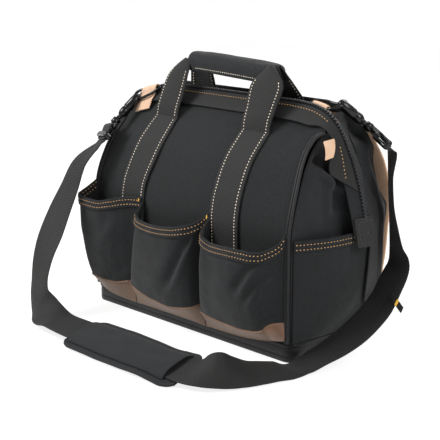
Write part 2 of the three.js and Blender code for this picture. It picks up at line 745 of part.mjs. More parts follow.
function pocketPoint(pocket, u, v) {
  const out = pocketOut(pocket, u);
  const x = mix(pocket.from, pocket.to, u);
  const low = POCKET_BOTTOM + POCKET_CORNER_RISE * (2 * u - 1) ** 4;
  const up = mix(low, pocket.mouth - pocket.dip * out, v);
  const share = mix(pocket.toe, 1, swellShare(v));
  const seam = SEAMS[pocket.name];
  const forward = pocket.swell * out * share - creaseDepth(pocket, u, v) * out;
  return new THREE.Vector3(x, -(panelDepth(x, up) + mix(seam.from, seam.to, u) + forward), up);
}

// Grid lines up a pocket, the last step being its hem
const POCKET_LINES = 6;
function hemLines(v, hemShare) {
  const below = (POCKET_LINES - 1) / POCKET_LINES;
  return v < below ? (v / below) * hemShare : mix(hemShare, 1, (v - below) * POCKET_LINES);
}

for (const pocket of POCKETS) {
  const hemShare = 1 - HEM / (pocket.mouth - pocket.dip - POCKET_BOTTOM);
  const body = (u, v) => pocketPoint(pocket, u, hemLines(v, hemShare));
  const hem = (u, v) => pocketPoint(pocket, u, mix(hemShare, 1, v));
  const foot = (u, v) => {
    const top = pocketPoint(pocket, u, 0);
    const heel = SEAMS[pocket.name].heelFrom * (1 - u) ** 4 + SEAMS[pocket.name].heelTo * u ** 4;
    const depth = mix(top.y, -FOOT_DEPTH, ease(1 - v));
    return new THREE.Vector3(top.x, depth, mix(FOOT_LOW + heel, top.z - 2 * GAP, v));
  };
  const shared = { level: true, spread: gathered };
  const cloth = { across: 14, along: POCKET_LINES, low: -POCKET_CLOTH, high: 0, ...shared };
  const doubled = { across: 14, along: 1, low: GAP, high: WEB, ...shared };
  const leather = { across: 10, along: 3, low: -FOOT_LEATHER, high: 0, ...shared };
  addPiece(`front_pocket_${pocket.name}`, wall(body, cloth), blackCloth);
  addPiece(`front_pocket_hem_${pocket.name}`, wall(hem, doubled), blackCloth);
  addPiece(`pocket_foot_${pocket.name}`, wall(foot, leather), brownLeather);
}

// Back: a tan sheet standing off the panel with a black hem, closed at each end by a black gusset
const sheetDepth = column(BACK_ROWS, 'up', 'depth');
const SHEET_HALF = 199;
const SHEET_LOW = 45;
const SHEET_TOP = 325;
const SHEET_CORNER_FROM = 125;
const SHEET_CORNER_DROP = 62;
const SHEET_THICK = 2.4;
const SHEET_HEM = 15;
const SHEET_HEM_LOST = 11;
const HEM_NARROW_FROM = 135;
const HEM_NARROW_OVER = 30;
const sheetTop = (x) => {
  const corner = (Math.abs(x) - SHEET_CORNER_FROM) / (SHEET_HALF - SHEET_CORNER_FROM);
  return SHEET_TOP - SHEET_CORNER_DROP * ease(corner);
};
const sheetHemLow = (x) => {
  return sheetTop(x) - SHEET_HEM + SHEET_HEM_LOST * ease((Math.abs(x) - HEM_NARROW_FROM) / HEM_NARROW_OVER);
};
const sheetX = (u) => mix(SHEET_HALF, -SHEET_HALF, u);
const sheetAt = (x, up) => new THREE.Vector3(x, sheetDepth(up), up);
const sheet = (u, v) => sheetAt(sheetX(u), mix(SHEET_LOW, sheetHemLow(sheetX(u)) - 2 * GAP, v));
const sheetHem = (u, v) => sheetAt(sheetX(u), mix(sheetHemLow(sheetX(u)), sheetTop(sheetX(u)), v));
const tan = { across: 10, along: 9, low: -SHEET_THICK, high: 0, level: true };
addPiece('back_sheet', wall(sheet, tan), tanLeather);
addPiece('back_sheet_hem', wall(sheetHem, { ...tan, along: 1 }), blackCloth);

const gussetFrom = column(GUSSET_ROWS, 'up', 'from');
const gussetEdge = column(GUSSET_ROWS, 'up', 'edge');
const GUSSET_LOW = 56;
const GUSSET_TOP = 244;
const GUSSET_CLOTH = 1.6;
const GUSSET_SEAM = 2.2;
const GUSSET_CLEAR = 202.6;
const GUSSET_OVER_HEM = 5.2;
const GUSSET_FOLLOW = 50;
const GUSSET_DENT = 12;
const DENT_FROM = 215;
const DENT_OVER = 30;
for (const end of [-1, 1]) {
  const gusset = (u, v) => {
    const up = mix(GUSSET_LOW, GUSSET_TOP, v);
    const last = sheetDepth(up) - SHEET_THICK - GUSSET_SEAM;
    const share = end > 0 ? u : 1 - u;
    const y = mix(gussetFrom(up), last, share);
    const pocketFace = endPocketX(Math.min(y, END_POCKET_HALF), Math.min(up, END_POCKET_TOP), end);
    const overEnd = Math.max(endX(y, up, end) + GUSSET_CLOTH + 4 * GAP, GUSSET_CLEAR);
    const follow = ease((up - END_POCKET_TOP) / GUSSET_FOLLOW);
    const near = mix(pocketFace + GUSSET_OVER_HEM, overEnd, follow);
    const corner = panelDepth(end * HALF, up) + PIPING_RADIUS;
    const turn = ease((y - corner) / (last - corner));
    const dent = GUSSET_DENT * ease((up - DENT_FROM) / DENT_OVER) * Math.sin(Math.PI * turn) ** 2;
    return new THREE.Vector3(end * (mix(near, gussetEdge(up), turn) - dent), y, up);
  };
  const name = end < 0 ? 'back_gusset_left' : 'back_gusset_right';
  addPiece(name, wall(gusset, { across: 8, along: 8, low: -GUSSET_CLOTH, high: 0, level: true }), blackCloth);
}

// Handle legs: sewn to the panel, then free up to the grip
for (const leg of LEGS) {
  const legX = column(leg.rows, 'up', 'x');
  const legWidth = column(leg.rows, 'up', 'width');
  const legTop = leg.rows.at(-1).up;
  for (const side of [FRONT, BACK]) {
    const face = side === FRONT ? 'front' : 'back';
    const web = (u, v) => {
      const up = mix(LEG_LOW[face], legTop, linesUp(v, LEG_LOWER_SHARE));
      const x = legX(up) - side * (u - 0.5) * legWidth(up);
      const sewn = panelDepth(x, Math.min(up, HANDLE_SEWN_UP)) + LEG_LIFT;
      const share = clamp01((up - HANDLE_SEWN_UP) / (legTop - HANDLE_SEWN_UP));
      const depth = mix(sewn, LEG_GRIP_DEPTH, share) + LEG_BOW * Math.sin(Math.PI * share);
      return new THREE.Vector3(x, side * depth, up);
    };
    const webGrid = { across: 1, along: 15, low: 0, high: CLOTH, level: true };
    addPiece(`handle_${face}_${leg.name}`, wall(web, webGrid), blackWeb);
  }
}

// The padded grip wrapped round the tops of the handles
const GRIP_SIDES = 14;
const GRIP_SQUARE = 0.85;
const gripRing = (row) => [...Array(GRIP_SIDES).keys()].map((k) => {
  const angle = (2 * Math.PI * k) / GRIP_SIDES;
  const round = (value) => Math.sign(value) * Math.abs(value) ** GRIP_SQUARE;
  const y = GRIP_HALF_DEPTH * row.size * round(Math.cos(angle));
  return new THREE.Vector3(row.x, y, row.up + GRIP_HALF_HEIGHT * row.size * round(Math.sin(angle)));
});
addPiece('grip', loft(GRIP_ROWS.map(gripRing)), blackWeb);

// Plain tan tab at the right end, sewn to the band's front edge
const SIDE_TAB_RUN = { low: 243, high: 215 };
const SIDE_TAB_OFF = { near: 27, far: 44 };
const SIDE_TAB_STAND = 6;
const sideTab = (u, v) => {
  const run = mix(SIDE_TAB_RUN.low, SIDE_TAB_RUN.high, v);
  return mouthPoint(run, mix(SIDE_TAB_OFF.far, SIDE_TAB_OFF.near, u), FRONT);
};
const sideTabLow = (u) => mix(SIDE_TAB_STAND, BAND_THICK + 2 * GAP, u);
const sideTabGrid = { across: 2, along: 2, low: sideTabLow, high: (u) => sideTabLow(u) + LEATHER };
addPiece('end_tab_right', wall(sideTab, sideTabGrid), tanLeather);

// Strap ends: leather tab, wire ring, snap hook, web loop and slide, each in the band's own plane
const ringFall = radians(MOUTH_ROWS[0].fall);
function bandPlace(place, along, down, off) {
  const y = place.side * (down * Math.cos(ringFall) + off * Math.sin(ringFall));
  const level = ridgeUp(place.x + THREE.MathUtils.clamp(along, -TAB_WIDTH / 2, TAB_WIDTH / 2));
  const z = level - down * Math.sin(ringFall) + off * Math.cos(ringFall);
  return new THREE.Vector3(place.x + along, y, z);
}

// Turns and moves a geometry made along its own X, Y and Z to three directions at a place
function placed(geometry, xWay, yWay, zWay, at) {
  const matrix = new THREE.Matrix4().makeBasis(xWay, yWay, zWay).setPosition(at);
  return geometry.applyMatrix4(matrix);
}

// A flat rectangular frame, its width along X, its height along Y and its thickness along Z
function frameOf(wide, high, wire, thick) {
  const shape = roundedRectangle(wide, high, wire / 2);
  const window = roundedRectangle(wide - 2 * wire, high - 2 * wire, wire / 4);
  shape.holes.push(window);
  const settings = { depth: thick, bevelEnabled: false, curveSegments: 2 };
  return new THREE.ExtrudeGeometry(shape, settings).translate(0, 0, -thick / 2);
}

// The ring's curve, reaching down the band and lifting off it towards its hook
function ringCurve(place) {
  const points = RING_ROWS.map((row) => {
    const down = RING_BAR_DOWN + (row.down - RING_BAR_DOWN) * place.reach;
    return bandPlace(place, row.along * place.pull, down, RING_OFF + row.lift * place.lift);
  });
  return new THREE.CatmullRomCurve3(points, true);
}

// A strap end's own directions, and where its hook bears on the ring: the ring's furthest place that way
const RING_TRIES = 300;
function strapEnd(place) {
  const aim = new THREE.Vector3(...place.aim).normalize();
  const plan = new THREE.Vector3(Math.cos(radians(place.turn)), Math.sin(radians(place.turn)), 0);
  const width = plan.addScaledVector(aim, -plan.dot(aim)).normalize();
  const flat = new THREE.Vector3().crossVectors(width, aim);
  const curve = ringCurve(place);
  const tries = [...Array(RING_TRIES).keys()].map((k) => k / RING_TRIES);
  const reach = (t) => curve.getPointAt(t).dot(aim);
  const bearing = tries.reduce((best, t) => (reach(t) > reach(best) ? t : best));
  const seat = curve.getPointAt(bearing);
  const wireWay = curve.getTangentAt(bearing);
  const bar = seat.clone().addScaledVector(aim, EYE_TO - EYE_WIRE / 2);
  const start = bar.clone().addScaledVector(aim, LOOP_LENGTH).addScaledVector(flat, LOOP_OFF);
  return { aim, width, flat, curve, seat, wireWay, bar, start };
}

for (const place of STRAP_ENDS) {
  const { aim, width, flat, curve, seat, wireWay, bar } = strapEnd(place);
  const leafPoints = TAB_ROWS.map((row) => new THREE.Vector3(0, row.down, row.off));
  const leafCurve = new THREE.CatmullRomCurve3(leafPoints);
  const leaf = (u, v) => {
    const spot = leafCurve.getPointAt(v);
    return bandPlace(place, (u - 0.5) * TAB_WIDTH, spot.y, spot.z);
  };
  const leafGrid = { across: 1, along: 20, low: -LEATHER / 2, high: LEATHER / 2 };
  addPiece(`ring_tab_${place.name}`, wall(leaf, leafGrid), tanLeather);
  addPiece(`strap_ring_${place.name}`, wireRing(curve, RING_WIRE, 18, 6), blackMetal);

  const noseMiddle = seat.clone().addScaledVector(aim, HOOK_SEAT);
  const noseX = aim.clone().addScaledVector(wireWay, -aim.dot(wireWay)).normalize();
  const noseY = new THREE.Vector3().crossVectors(wireWay, noseX);
  const noseRing = new THREE.TorusGeometry(HOOK_NOSE, HOOK_NOSE_WIRE, 5, 10);
  const nose = placed(noseRing, noseX, noseY, wireWay, noseMiddle);
  const profile = BARREL_ROWS.map((row) => new THREE.Vector2(BARREL_RADIUS * row.share, row.along));
  const barrel = placed(new THREE.LatheGeometry(profile, 8), width, aim, flat, seat);
  const eyeMiddle = seat.clone().addScaledVector(aim, (EYE_FROM + EYE_TO) / 2);
  const eye = placed(frameOf(EYE_WIDTH, EYE_TO - EYE_FROM, EYE_WIRE, EYE_WIRE), width, aim, flat, eyeMiddle);
  addPiece(`snap_hook_${place.name}`, join(nose, barrel, eye), blackMetal);

  const loopPoints = LOOP_ROWS.map((row) => {
    return bar.clone().addScaledVector(aim, row.along).addScaledVector(flat, row.off * LOOP_OFF);
  });
  const loopCurve = new THREE.CatmullRomCurve3(loopPoints);
  const loop = (u, v) => loopCurve.getPointAt(v).addScaledVector(width, (u - 0.5) * STRAP_WIDTH);
  const loopGrid = { across: 1, along: 22, low: -WEB / 2, high: WEB / 2 };
  addPiece(`strap_loop_${place.name}`, wall(loop, loopGrid), blackWeb);
  const slideMiddle = bar.clone().addScaledVector(aim, SLIDE_AT);
  const slideFrame = frameOf(EYE_WIDTH, SLIDE_HIGH, SLIDE_WIRE, SLIDE_DEEP);
  const slide = placed(slideFrame, width, flat, new THREE.Vector3().crossVectors(width, flat), slideMiddle);
  addPiece(`strap_slide_${place.name}`, slide, blackMetal);
}

// The shoulder strap: one web from slide to slide, through the pad
const ends = STRAP_ENDS.map(strapEnd);
const routePoints = [
  ends[0].start,
  ends[0].start.clone().addScaledVector(ends[0].aim, STRAP_LEAD),
  ...STRAP_ROUTE.map((row) => new THREE.Vector3(row.x, row.y, row.z)),
  ends[1].start.clone().addScaledVector(ends[1].aim, STRAP_LEAD),
  ends[1].start,
];
const widthWay = (row) => {
  const turn = radians(row.turn);
  const pitch = radians(row.pitch);
  const level = Math.cos(pitch);
  return new THREE.Vector3(Math.cos(turn) * level, Math.sin(turn) * level, Math.sin(pitch));
};
const routeWidths = [
  ends[0].width,
  ends[0].width,
  ...STRAP_ROUTE.map(widthWay),
  ends[1].width,
  ends[1].width,
];
const routeCurve = new THREE.CatmullRomCurve3(routePoints, false, 'centripetal');
const widthCurve = new THREE.CatmullRomCurve3(routeWidths);

// Place, direction and width direction at a share of the strap's length
function strapFrame(share) {
  const knot = routeCurve.getUtoTmapping(clamp01(share));
  const at = routeCurve.getPoint(knot);
  const way = routeCurve.getTangent(knot);
  const side = widthCurve.getPoint(knot);
  side.addScaledVector(way, -side.dot(way)).normalize();
  return { at, way, side };
}
const strapWeb = (u, v) => {
  const { at, side } = strapFrame(v);
  return at.addScaledVector(side, (u - 0.5) * STRAP_WIDTH);
};
addPiece('shoulder_strap', wall(strapWeb, { across: 1, along: 76, low: -WEB / 2, high: WEB / 2 }), blackWeb);

// The share of the strap's length, within two limits, whose middle is nearest a value on one axis
const SHARE_TRIES = 400;
function shareNear(axis, value, limits) {
  const tries = [...Array(SHARE_TRIES).keys()].map((k) => mix(limits.from, limits.to, k / SHARE_TRIES));
  const miss = (share) => Math.abs(strapFrame(share).at[axis] - value);
  return tries.reduce((best, share) => (miss(share) < miss(best) ? share : best));
}

// The pad: a foam base under the strap and a sleeve over it
const PAD_LIMITS = { from: 0.2, to: 0.7 };
const padFrom = shareNear('x', PAD_FROM_X, PAD_LIMITS);
const padTo = shareNear('x', PAD_TO_X, PAD_LIMITS);
const padHalf = column(PAD_ROWS, 'part', 'half');
const padAt = (part, off) => {
  const { at, side } = strapFrame(mix(padFrom, padTo, part));
  return at.addScaledVector(side, off);
};
const padBase = (u, v) => padAt(1 - v, (u - 0.5) * 2 * padHalf(1 - v));
const padTopFace = -WEB / 2 - 2 * GAP;
const padGrid = { across: 2, along: 12, low: padTopFace - PAD_FOAM, high: padTopFace };
addPiece('pad_base', wall(padBase, padGrid), blackCloth);
const SLEEVE_HALF = 27;
const SLEEVE_FROM = 0.07;
const SLEEVE_TO = 0.92;
const SLEEVE_CROWN = 5.2;
const SLEEVE_FOOT = -0.9;
const sleeve = (u, v) => padAt(mix(SLEEVE_TO, SLEEVE_FROM, v), (u - 0.5) * 2 * SLEEVE_HALF);
const sleeveOff = (u) => SLEEVE_FOOT + SLEEVE_CROWN * (1 - (2 * u - 1) ** 4);
const sleeveGrid = { across: 8, along: 4, low: sleeveOff, high: (u) => sleeveOff(u) + WEB };
addPiece('pad_sleeve', wall(sleeve, sleeveGrid), blackCloth);

// A short sewn tail of web under the strap's outer edge
const TAIL_Y = 48;
const TAIL_FROM = 8;
const TAIL_REACH = 35;
const TAIL_HALF = 5.5;
const TAIL_WEB = 1.4;
const TAIL_LIMITS = { from: 0.7, to: 0.9 };
const tailFrame = strapFrame(shareNear('y', TAIL_Y, TAIL_LIMITS));
const tail = (u, v) => {
  const spot = tailFrame.at.clone().addScaledVector(tailFrame.side, -mix(TAIL_FROM, TAIL_REACH, v));
  return spot.addScaledVector(tailFrame.way, (u - 0.5) * 2 * TAIL_HALF);
};
const tailTop = -WEB / 2 - 2 * GAP;
addPiece('strap_tail', wall(tail, { across: 1, along: 2, low: tailTop - TAIL_WEB, high: tailTop }), blackWeb);

export default bag;
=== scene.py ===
# %% [markdown]
# A zip-top tool bag with a shoulder strap.
# The real bag is sewn from black woven cloth, ribbed web and leather, and it stands on a coated base.
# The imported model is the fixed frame. Most pieces below stand for one of its nodes, at the same place, with
# the folds and weave that a plain solid lacks. Stitches, beads and flaps are added to them.

# %% Load the frame
import json
import math
import bpy
import numpy as np
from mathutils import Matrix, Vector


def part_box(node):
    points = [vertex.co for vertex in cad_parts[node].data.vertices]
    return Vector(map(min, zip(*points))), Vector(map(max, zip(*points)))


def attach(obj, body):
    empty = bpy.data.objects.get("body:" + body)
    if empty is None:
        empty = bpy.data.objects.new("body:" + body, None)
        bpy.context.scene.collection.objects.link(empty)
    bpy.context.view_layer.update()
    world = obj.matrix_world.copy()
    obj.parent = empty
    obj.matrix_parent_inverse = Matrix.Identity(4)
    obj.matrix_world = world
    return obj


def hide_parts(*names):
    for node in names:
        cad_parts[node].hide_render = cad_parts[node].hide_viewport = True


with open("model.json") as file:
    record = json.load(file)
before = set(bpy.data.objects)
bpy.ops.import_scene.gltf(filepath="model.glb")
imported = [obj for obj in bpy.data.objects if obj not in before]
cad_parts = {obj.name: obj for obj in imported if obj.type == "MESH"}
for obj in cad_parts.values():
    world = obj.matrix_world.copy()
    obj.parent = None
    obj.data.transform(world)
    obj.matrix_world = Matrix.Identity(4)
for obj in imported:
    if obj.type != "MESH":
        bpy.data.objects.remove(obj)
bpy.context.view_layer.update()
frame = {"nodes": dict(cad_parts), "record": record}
print("nodes in the frame:", len(frame["nodes"]))

# %% [markdown]
# Shapes are worked out in millimetres, as a bag maker measures, and turned to metres when a mesh is made.
# Tables hold a row for each section, under named columns. A Bezier curve could join the rows, but it can
# overshoot. Here a curve with limited slopes runs through each column, so that cloth stays fair.

# %% Numbers and tables
MM = 0.001
FRONT = -1
BACK = 1
TINY = 1e-9
TRAY_LOW, TRAY_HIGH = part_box("base_tray")
MIDDLE = np.array([0.0, (TRAY_LOW.y + TRAY_HIGH.y) / 2, 0.0])


def table(columns, *rows):
    """Rows of numbers under named columns."""
    return dict(zip(columns.split(), np.array(rows, float).T))


def column(rows, key, name):
    """A curve through one column: cubic pieces whose slope at a row is the harmonic mean of its two steps."""
    xs = rows[key]
    ys = rows[name]
    wide = np.diff(xs)
    steps = np.diff(ys) / wide
    product = steps[:-1] * steps[1:]
    total = np.where(product > 0, steps[:-1] + steps[1:], 1)
    inner = np.where(product > 0, 2 * product / total, 0)
    slopes = np.concatenate([steps[:1], inner, steps[-1:]])

    def curve(x):
        at = np.clip(x, xs[0], xs[-1])
        i = np.clip(np.searchsorted(xs, at) - 1, 0, len(wide) - 1)
        t = (at - xs[i]) / wide[i]
        rise = ys[i + 1] - ys[i]
        bend = (slopes[i] * wide[i] - rise) * (1 - t) - (slopes[i + 1] * wide[i] - rise) * t
        return ys[i] + rise * t + t * (1 - t) * bend

    return curve


def mix(a, b, t):
    """A straight step from a to b."""
    return a + (b - a) * t


def clamp01(t):
    """A number held between nought and one."""
    return np.clip(t, 0, 1)


def ease(t):
    """A soft step from nought to one."""
    return clamp01(t) ** 2 * (3 - 2 * clamp01(t))


def stack(x, y, z):
    """Three arrays of coordinates as one array of points."""
    return np.stack(np.broadcast_arrays(x, y, z), axis=-1)


def unit(way):
    """Directions made one long."""
    return way / np.maximum(np.linalg.norm(way, axis=-1, keepdims=True), TINY)


def rumple(u, v, cells, seed):
    """Soft bumps from minus one to one: random heights on a lattice of cells, joined by soft steps."""
    heights = np.random.default_rng(seed).uniform(-1, 1, (cells[0] + 2, cells[1] + 2))
    a = clamp01(u) * cells[0]
    b = clamp01(v) * cells[1]
    i = np.floor(a).astype(int)
    j = np.floor(b).astype(int)
    s = ease(a - i)
    t = ease(b - j)
    low = mix(heights[i, j], heights[i + 1, j], s)
    high = mix(heights[i, j + 1], heights[i + 1, j + 1], s)
    return mix(low, high, t)


FOLD_FADE = 0.3
FOLD_ENDS = 4
RIDGE_AWAY = 1.5
RIDGE_HIGH = 0.45


def pressed(u, v, creases):
    """Folds: a valley along each straight line, deep times a bell of the distance, with a ridge beside it."""
    total = np.zeros(np.broadcast(u, v).shape)
    for from_u, from_v, to_u, to_v, deep, wide in creases:
        run = np.array([to_u - from_u, to_v - from_v])
        length = np.hypot(*run)
        along = clamp01(((u - from_u) * run[0] + (v - from_v) * run[1]) / length**2)
        off_u = u - from_u - along * run[0]
        off_v = v - from_v - along * run[1]
        away = np.hypot(off_u, off_v) / wide
        side = (off_u * run[1] - off_v * run[0]) / (length * wide)
        fade = mix(FOLD_FADE, 1, ease(FOLD_ENDS * along) * ease(FOLD_ENDS * (1 - along)))
        ridge = np.exp(-((side - RIDGE_AWAY) ** 2) - np.maximum(away - np.abs(side), 0) ** 2)
        total = total + deep * fade * (np.exp(-(away**2)) - RIDGE_HIGH * ridge)
    return total


print("bag middle in metres:", MIDDLE)

# %% [markdown]
# The camera stands where the photograph was taken, to the right of the front and a little above the bag.
# The photograph has even studio light. A sun lamp would give its shadows hard edges, so three large soft
# lamps are used: over the left shoulder, at the right and behind.

# %% Camera and light
CAMERA_AZIMUTH = math.radians(47.0)
CAMERA_ELEVATION = math.radians(13.37)
CAMERA_AWAY = 2.0
CAMERA_LENS = 103.176
CAMERA_SENSOR = 36.0
CAMERA_AIM = np.array([-0.15933, 0.13043, 0.09467]) + MIDDLE

scene = bpy.context.scene
camera_data = bpy.data.cameras.new("photo_camera")
camera_data.lens = CAMERA_LENS
camera_data.sensor_width = CAMERA_SENSOR
camera = bpy.data.objects.new("photo_camera", camera_data)
scene.collection.objects.link(camera)
level = math.cos(CAMERA_ELEVATION)
camera_way = np.array([
    math.sin(CAMERA_AZIMUTH) * level,
    -math.cos(CAMERA_AZIMUTH) * level,
    math.sin(CAMERA_ELEVATION),
])
camera.location = CAMERA_AIM + camera_way * CAMERA_AWAY
camera.rotation_euler = (math.pi / 2 - CAMERA_ELEVATION, 0, CAMERA_AZIMUTH)
scene.camera = camera
scene.view_settings.view_transform = "Standard"

LAMPS = {
    "key_lamp": {"at": (-1.1, -1.5, 1.9), "size": 1.2, "watts": 62.0},
    "side_lamp": {"at": (1.9, 0.1, 1.3), "size": 1.0, "watts": 24.0},
    "rim_lamp": {"at": (-0.4, 1.7, 1.7), "size": 1.2, "watts": 26.0},
}
LAMP_AIM = np.array([0.0, 0.0, 0.15])
for lamp_name, lamp in LAMPS.items():
    light = bpy.data.lights.new(lamp_name, "AREA")
    light.energy = lamp["watts"]
    light.size = lamp["size"]
    holder = bpy.data.objects.new(lamp_name, light)
    holder.location = lamp["at"]
    way = unit(LAMP_AIM - np.array(lamp["at"]))
    holder.rotation_euler = (math.acos(-way[2]), 0, math.atan2(way[1], way[0]) - math.pi / 2)
    scene.collection.objects.link(holder)

print("camera at", [round(float(value), 3) for value in camera.location])

# %% [markdown]
# A finish is a small net of shader nodes. They could be placed and linked one by one, but a formula is then
# hard to read. The class below wraps one socket, so that sums of sockets read as sums in Python. A weave that
# follows the cloth reads the piece's own map, which is in metres.
# The studio's white wall is the first such sum: it lights the bag more weakly than it looks.


# %% Shader sums
class Thread:
    """One socket of a shader tree. Sums and products of threads add Math nodes."""

    def __init__(self, tree, socket=None):
        self.tree = tree
        self.socket = socket

    def node(self, kind, settings=None, inputs=None, output=0):
        """Adds a node: its settings first, then the values or links of its sockets."""
        made = self.tree.nodes.new("ShaderNode" + kind)
        for key, value in (settings or {}).items():
            setattr(made, key, value)
        for key, value in (inputs or {}).items():
            if isinstance(value, Thread):
                self.tree.links.new(value.socket, made.inputs[key])
            else:
                made.inputs[key].default_value = value
        return Thread(self.tree, made.outputs[output])

    def math(self, operation, first, second=0.0):
        """One Math node on two values."""
        return self.node("Math", {"operation": operation}, {0: first, 1: second})

    def __add__(self, other):
        return self.math("ADD", self, other)

    def __mul__(self, other):
        return self.math("MULTIPLY", self, other)

    def __sub__(self, other):
        return self.math("SUBTRACT", self, other)

    def wave(self, pitch):
        """A sine of this length, from nought to one."""
        return self.math("SINE", self * (2 * math.pi / pitch)) * 0.5 + 0.5

    def blend(self, dark, light):
        """Two colours mixed by this value."""
        return self.node("Mix", {"data_type": "RGBA"}, {0: self, 6: dark, 7: light}, output=2)


def colour(red, green, blue):
    """A screen colour from 0 to 255 as the linear colour that shaders use."""
    screen = np.array([red, green, blue]) / 255
    linear = np.where(screen <= 0.04045, screen / 12.92, ((screen + 0.055) / 1.055) ** 2.4)
    return (*(float(value) for value in linear), 1.0)


def start_finish(name):
    """A new material, its thread and its shader."""
    material = bpy.data.materials.new(name)
    material.use_nodes = True
    tree = material.node_tree
    return material, Thread(tree), tree.nodes["Principled BSDF"]


def dress(thread, shader, base, rough, height, relief, constants):
    """Links colour, roughness and relief to the shader and sets what is the same all over."""
    thread.tree.links.new(base.socket, shader.inputs["Base Color"])
    thread.tree.links.new(rough.socket, shader.inputs["Roughness"])
    bump = thread.node("Bump", None, {"Height": height, "Distance": relief, "Strength": 1.0})
    thread.tree.links.new(bump.socket, shader.inputs["Normal"])
    for key, value in constants.items():
        shader.inputs[key].default_value = value


def spots(thread, scale, detail=2.0):
    """Cloudy noise from nought to one on the object's own coordinates."""
    place = thread.node("TexCoord", output="Object")
    return thread.node("TexNoise", None, {"Vector": place, "Scale": scale, "Detail": detail}, output="Fac")


def map_lengths(thread):
    """The piece's own map as two threads in metres: across and along."""
    place = thread.node("UVMap", output="UV")
    parts = thread.node("SeparateXYZ", None, {0: place})
    return parts, Thread(thread.tree, parts.socket.node.outputs["Y"])


ROOM_LIGHT = 0.5
world = bpy.data.worlds.new("studio")
world.use_nodes = True
backdrop = world.node_tree.nodes["Background"]
backdrop.inputs["Color"].default_value = (1, 1, 1, 1)
seen = Thread(world.node_tree).node("LightPath", output="Is Camera Ray")
world.node_tree.links.new((seen * (1 - ROOM_LIGHT) + ROOM_LIGHT).socket, backdrop.inputs["Strength"])
scene.world = world
print("shader sums ready")

# %% [markdown]
# Cloth and web cover most of the bag. Cloth has a fine plain weave with grey flecks, and web has ribs of
# thread from edge to edge. A picture of cloth could be laid on, but it would repeat and blur. Sines on the
# piece's own map give a weave of the right pitch on every piece.

# %% Cloth and web
FLECK_SCALE = 900.0
MOTTLE_SCALE = 330.0
FADING_SCALE = 14.0
CLOTH_WEAVE = 0.25
CLOTH_FLECKS = 0.5
CLOTH_FADING = 0.35
CLOTH_DARKER = 0.48
CLOTH_DULL = 0.12
FLECK_RELIEF = 0.8


def cloth_finish(name, dark, light, pitch, rough, relief=0.00025, sheen=0.08):
    """Plain weave: the product of two sines on the map, with flecks of lighter thread and slow fading."""
    material, thread, shader = start_finish(name)
    across, along = map_lengths(thread)
    weave = across.wave(pitch) * along.wave(pitch)
    flecks = spots(thread, FLECK_SCALE, detail=1.0)
    mottle = spots(thread, MOTTLE_SCALE, detail=2.0)
    fading = spots(thread, FADING_SCALE, detail=3.0)
    amount = weave * CLOTH_WEAVE + flecks * CLOTH_FLECKS + mottle * CLOTH_FLECKS
    amount = amount + fading * CLOTH_FADING - CLOTH_DARKER
    base = amount.blend(dark, light)
    dress(thread, shader, base, fading * CLOTH_DULL + rough, weave + flecks * FLECK_RELIEF, relief, {
        "Sheen Weight": sheen,
        "Sheen Roughness": 0.45,
        "Specular IOR Level": 0.25,
    })
    return material


WEB_FLECK_SCALE = 700.0
TWILL_PITCH = 0.6
WEB_TWILL = 0.1
WEB_FLECKS = 0.5
WEB_LIGHTER = 0.05
WEB_DULL = 0.15
TWILL_RELIEF = 0.4
WEB_RELIEF = 0.0002


def web_finish(name, dark, light, pitch, rough, painted_rib_shade):
    """Ribbed web: a sine along the web for the ribs, whose dark valleys in the colour are painted shade,
    crossed by a finer one for the threads in each.
    """
    material, thread, shader = start_finish(name)
    across, along = map_lengths(thread)
    rib = (along - pitch / 4).wave(pitch)
    twill = across.wave(pitch * TWILL_PITCH)
    flecks = spots(thread, WEB_FLECK_SCALE, detail=1.0)
    # The rib sine darkens the colour in the rib valleys and lightens it on their crests: painted shade of the
    # ribs.
    amount = rib * painted_rib_shade + twill * WEB_TWILL + flecks * WEB_FLECKS - painted_rib_shade / 2 + WEB_LIGHTER
    base = amount.blend(dark, light)
    dress(thread, shader, base, flecks * WEB_DULL + rough, rib + twill * TWILL_RELIEF, WEB_RELIEF, {
        "Sheen Weight": 0.06,
        "Sheen Roughness": 0.4,
        "Specular IOR Level": 0.3,
    })
    return material


print("cloth and web can be made")

# %% [markdown]
# The rest is leather, lacquer and yarn. Leather has pores and soft stains, lacquer is glossy with faint
# scuffs, and yarn shows two twisted shades. Their patterns have no direction, so noise and cells on the
# object's own coordinates do, and no map is needed.

# %% Leather, lacquer and yarn
STAIN_SCALE = 38.0
FINE_SCALE = 420.0
LEATHER_STAINS = 0.9
LEATHER_FINE = 0.4
LEATHER_DARKER = 0.2
LEATHER_DULL = 0.2
PORE_STEEP = 3.0
PORE_TOP = 0.6
FINE_RELIEF = 0.5
LEATHER_RELIEF = 0.00018


def leather_finish(name, dark, light, rough, pores=1600.0, coat=0.0):
    """Leather: small pores from cells, soft stains from slow noise."""
    material, thread, shader = start_finish(name)
    place = thread.node("TexCoord", output="Object")
    grain = thread.node("TexVoronoi", {"feature": "DISTANCE_TO_EDGE"}, {"Vector": place, "Scale": pores})
    stains = spots(thread, STAIN_SCALE, detail=4.0)
    fine = spots(thread, FINE_SCALE, detail=2.0)
    amount = stains * LEATHER_STAINS + fine * LEATHER_FINE - LEATHER_DARKER
    base = amount.blend(dark, light)
    height = thread.math("MINIMUM", grain * PORE_STEEP, PORE_TOP) + fine * FINE_RELIEF
    dress(thread, shader, base, stains * LEATHER_DULL + rough, height, LEATHER_RELIEF, {
        "Coat Weight": coat,
        "Coat Roughness": 0.25,
        "Specular IOR Level": 0.4,
    })
    return material


SCUFF_SCALE = 260.0
HAZE_SCALE = 45.0
LACQUER_SCUFFS = 0.6
LACQUER_HAZE = 0.3
LACQUER_DULL = 0.22
LACQUER_RELIEF = 0.00004


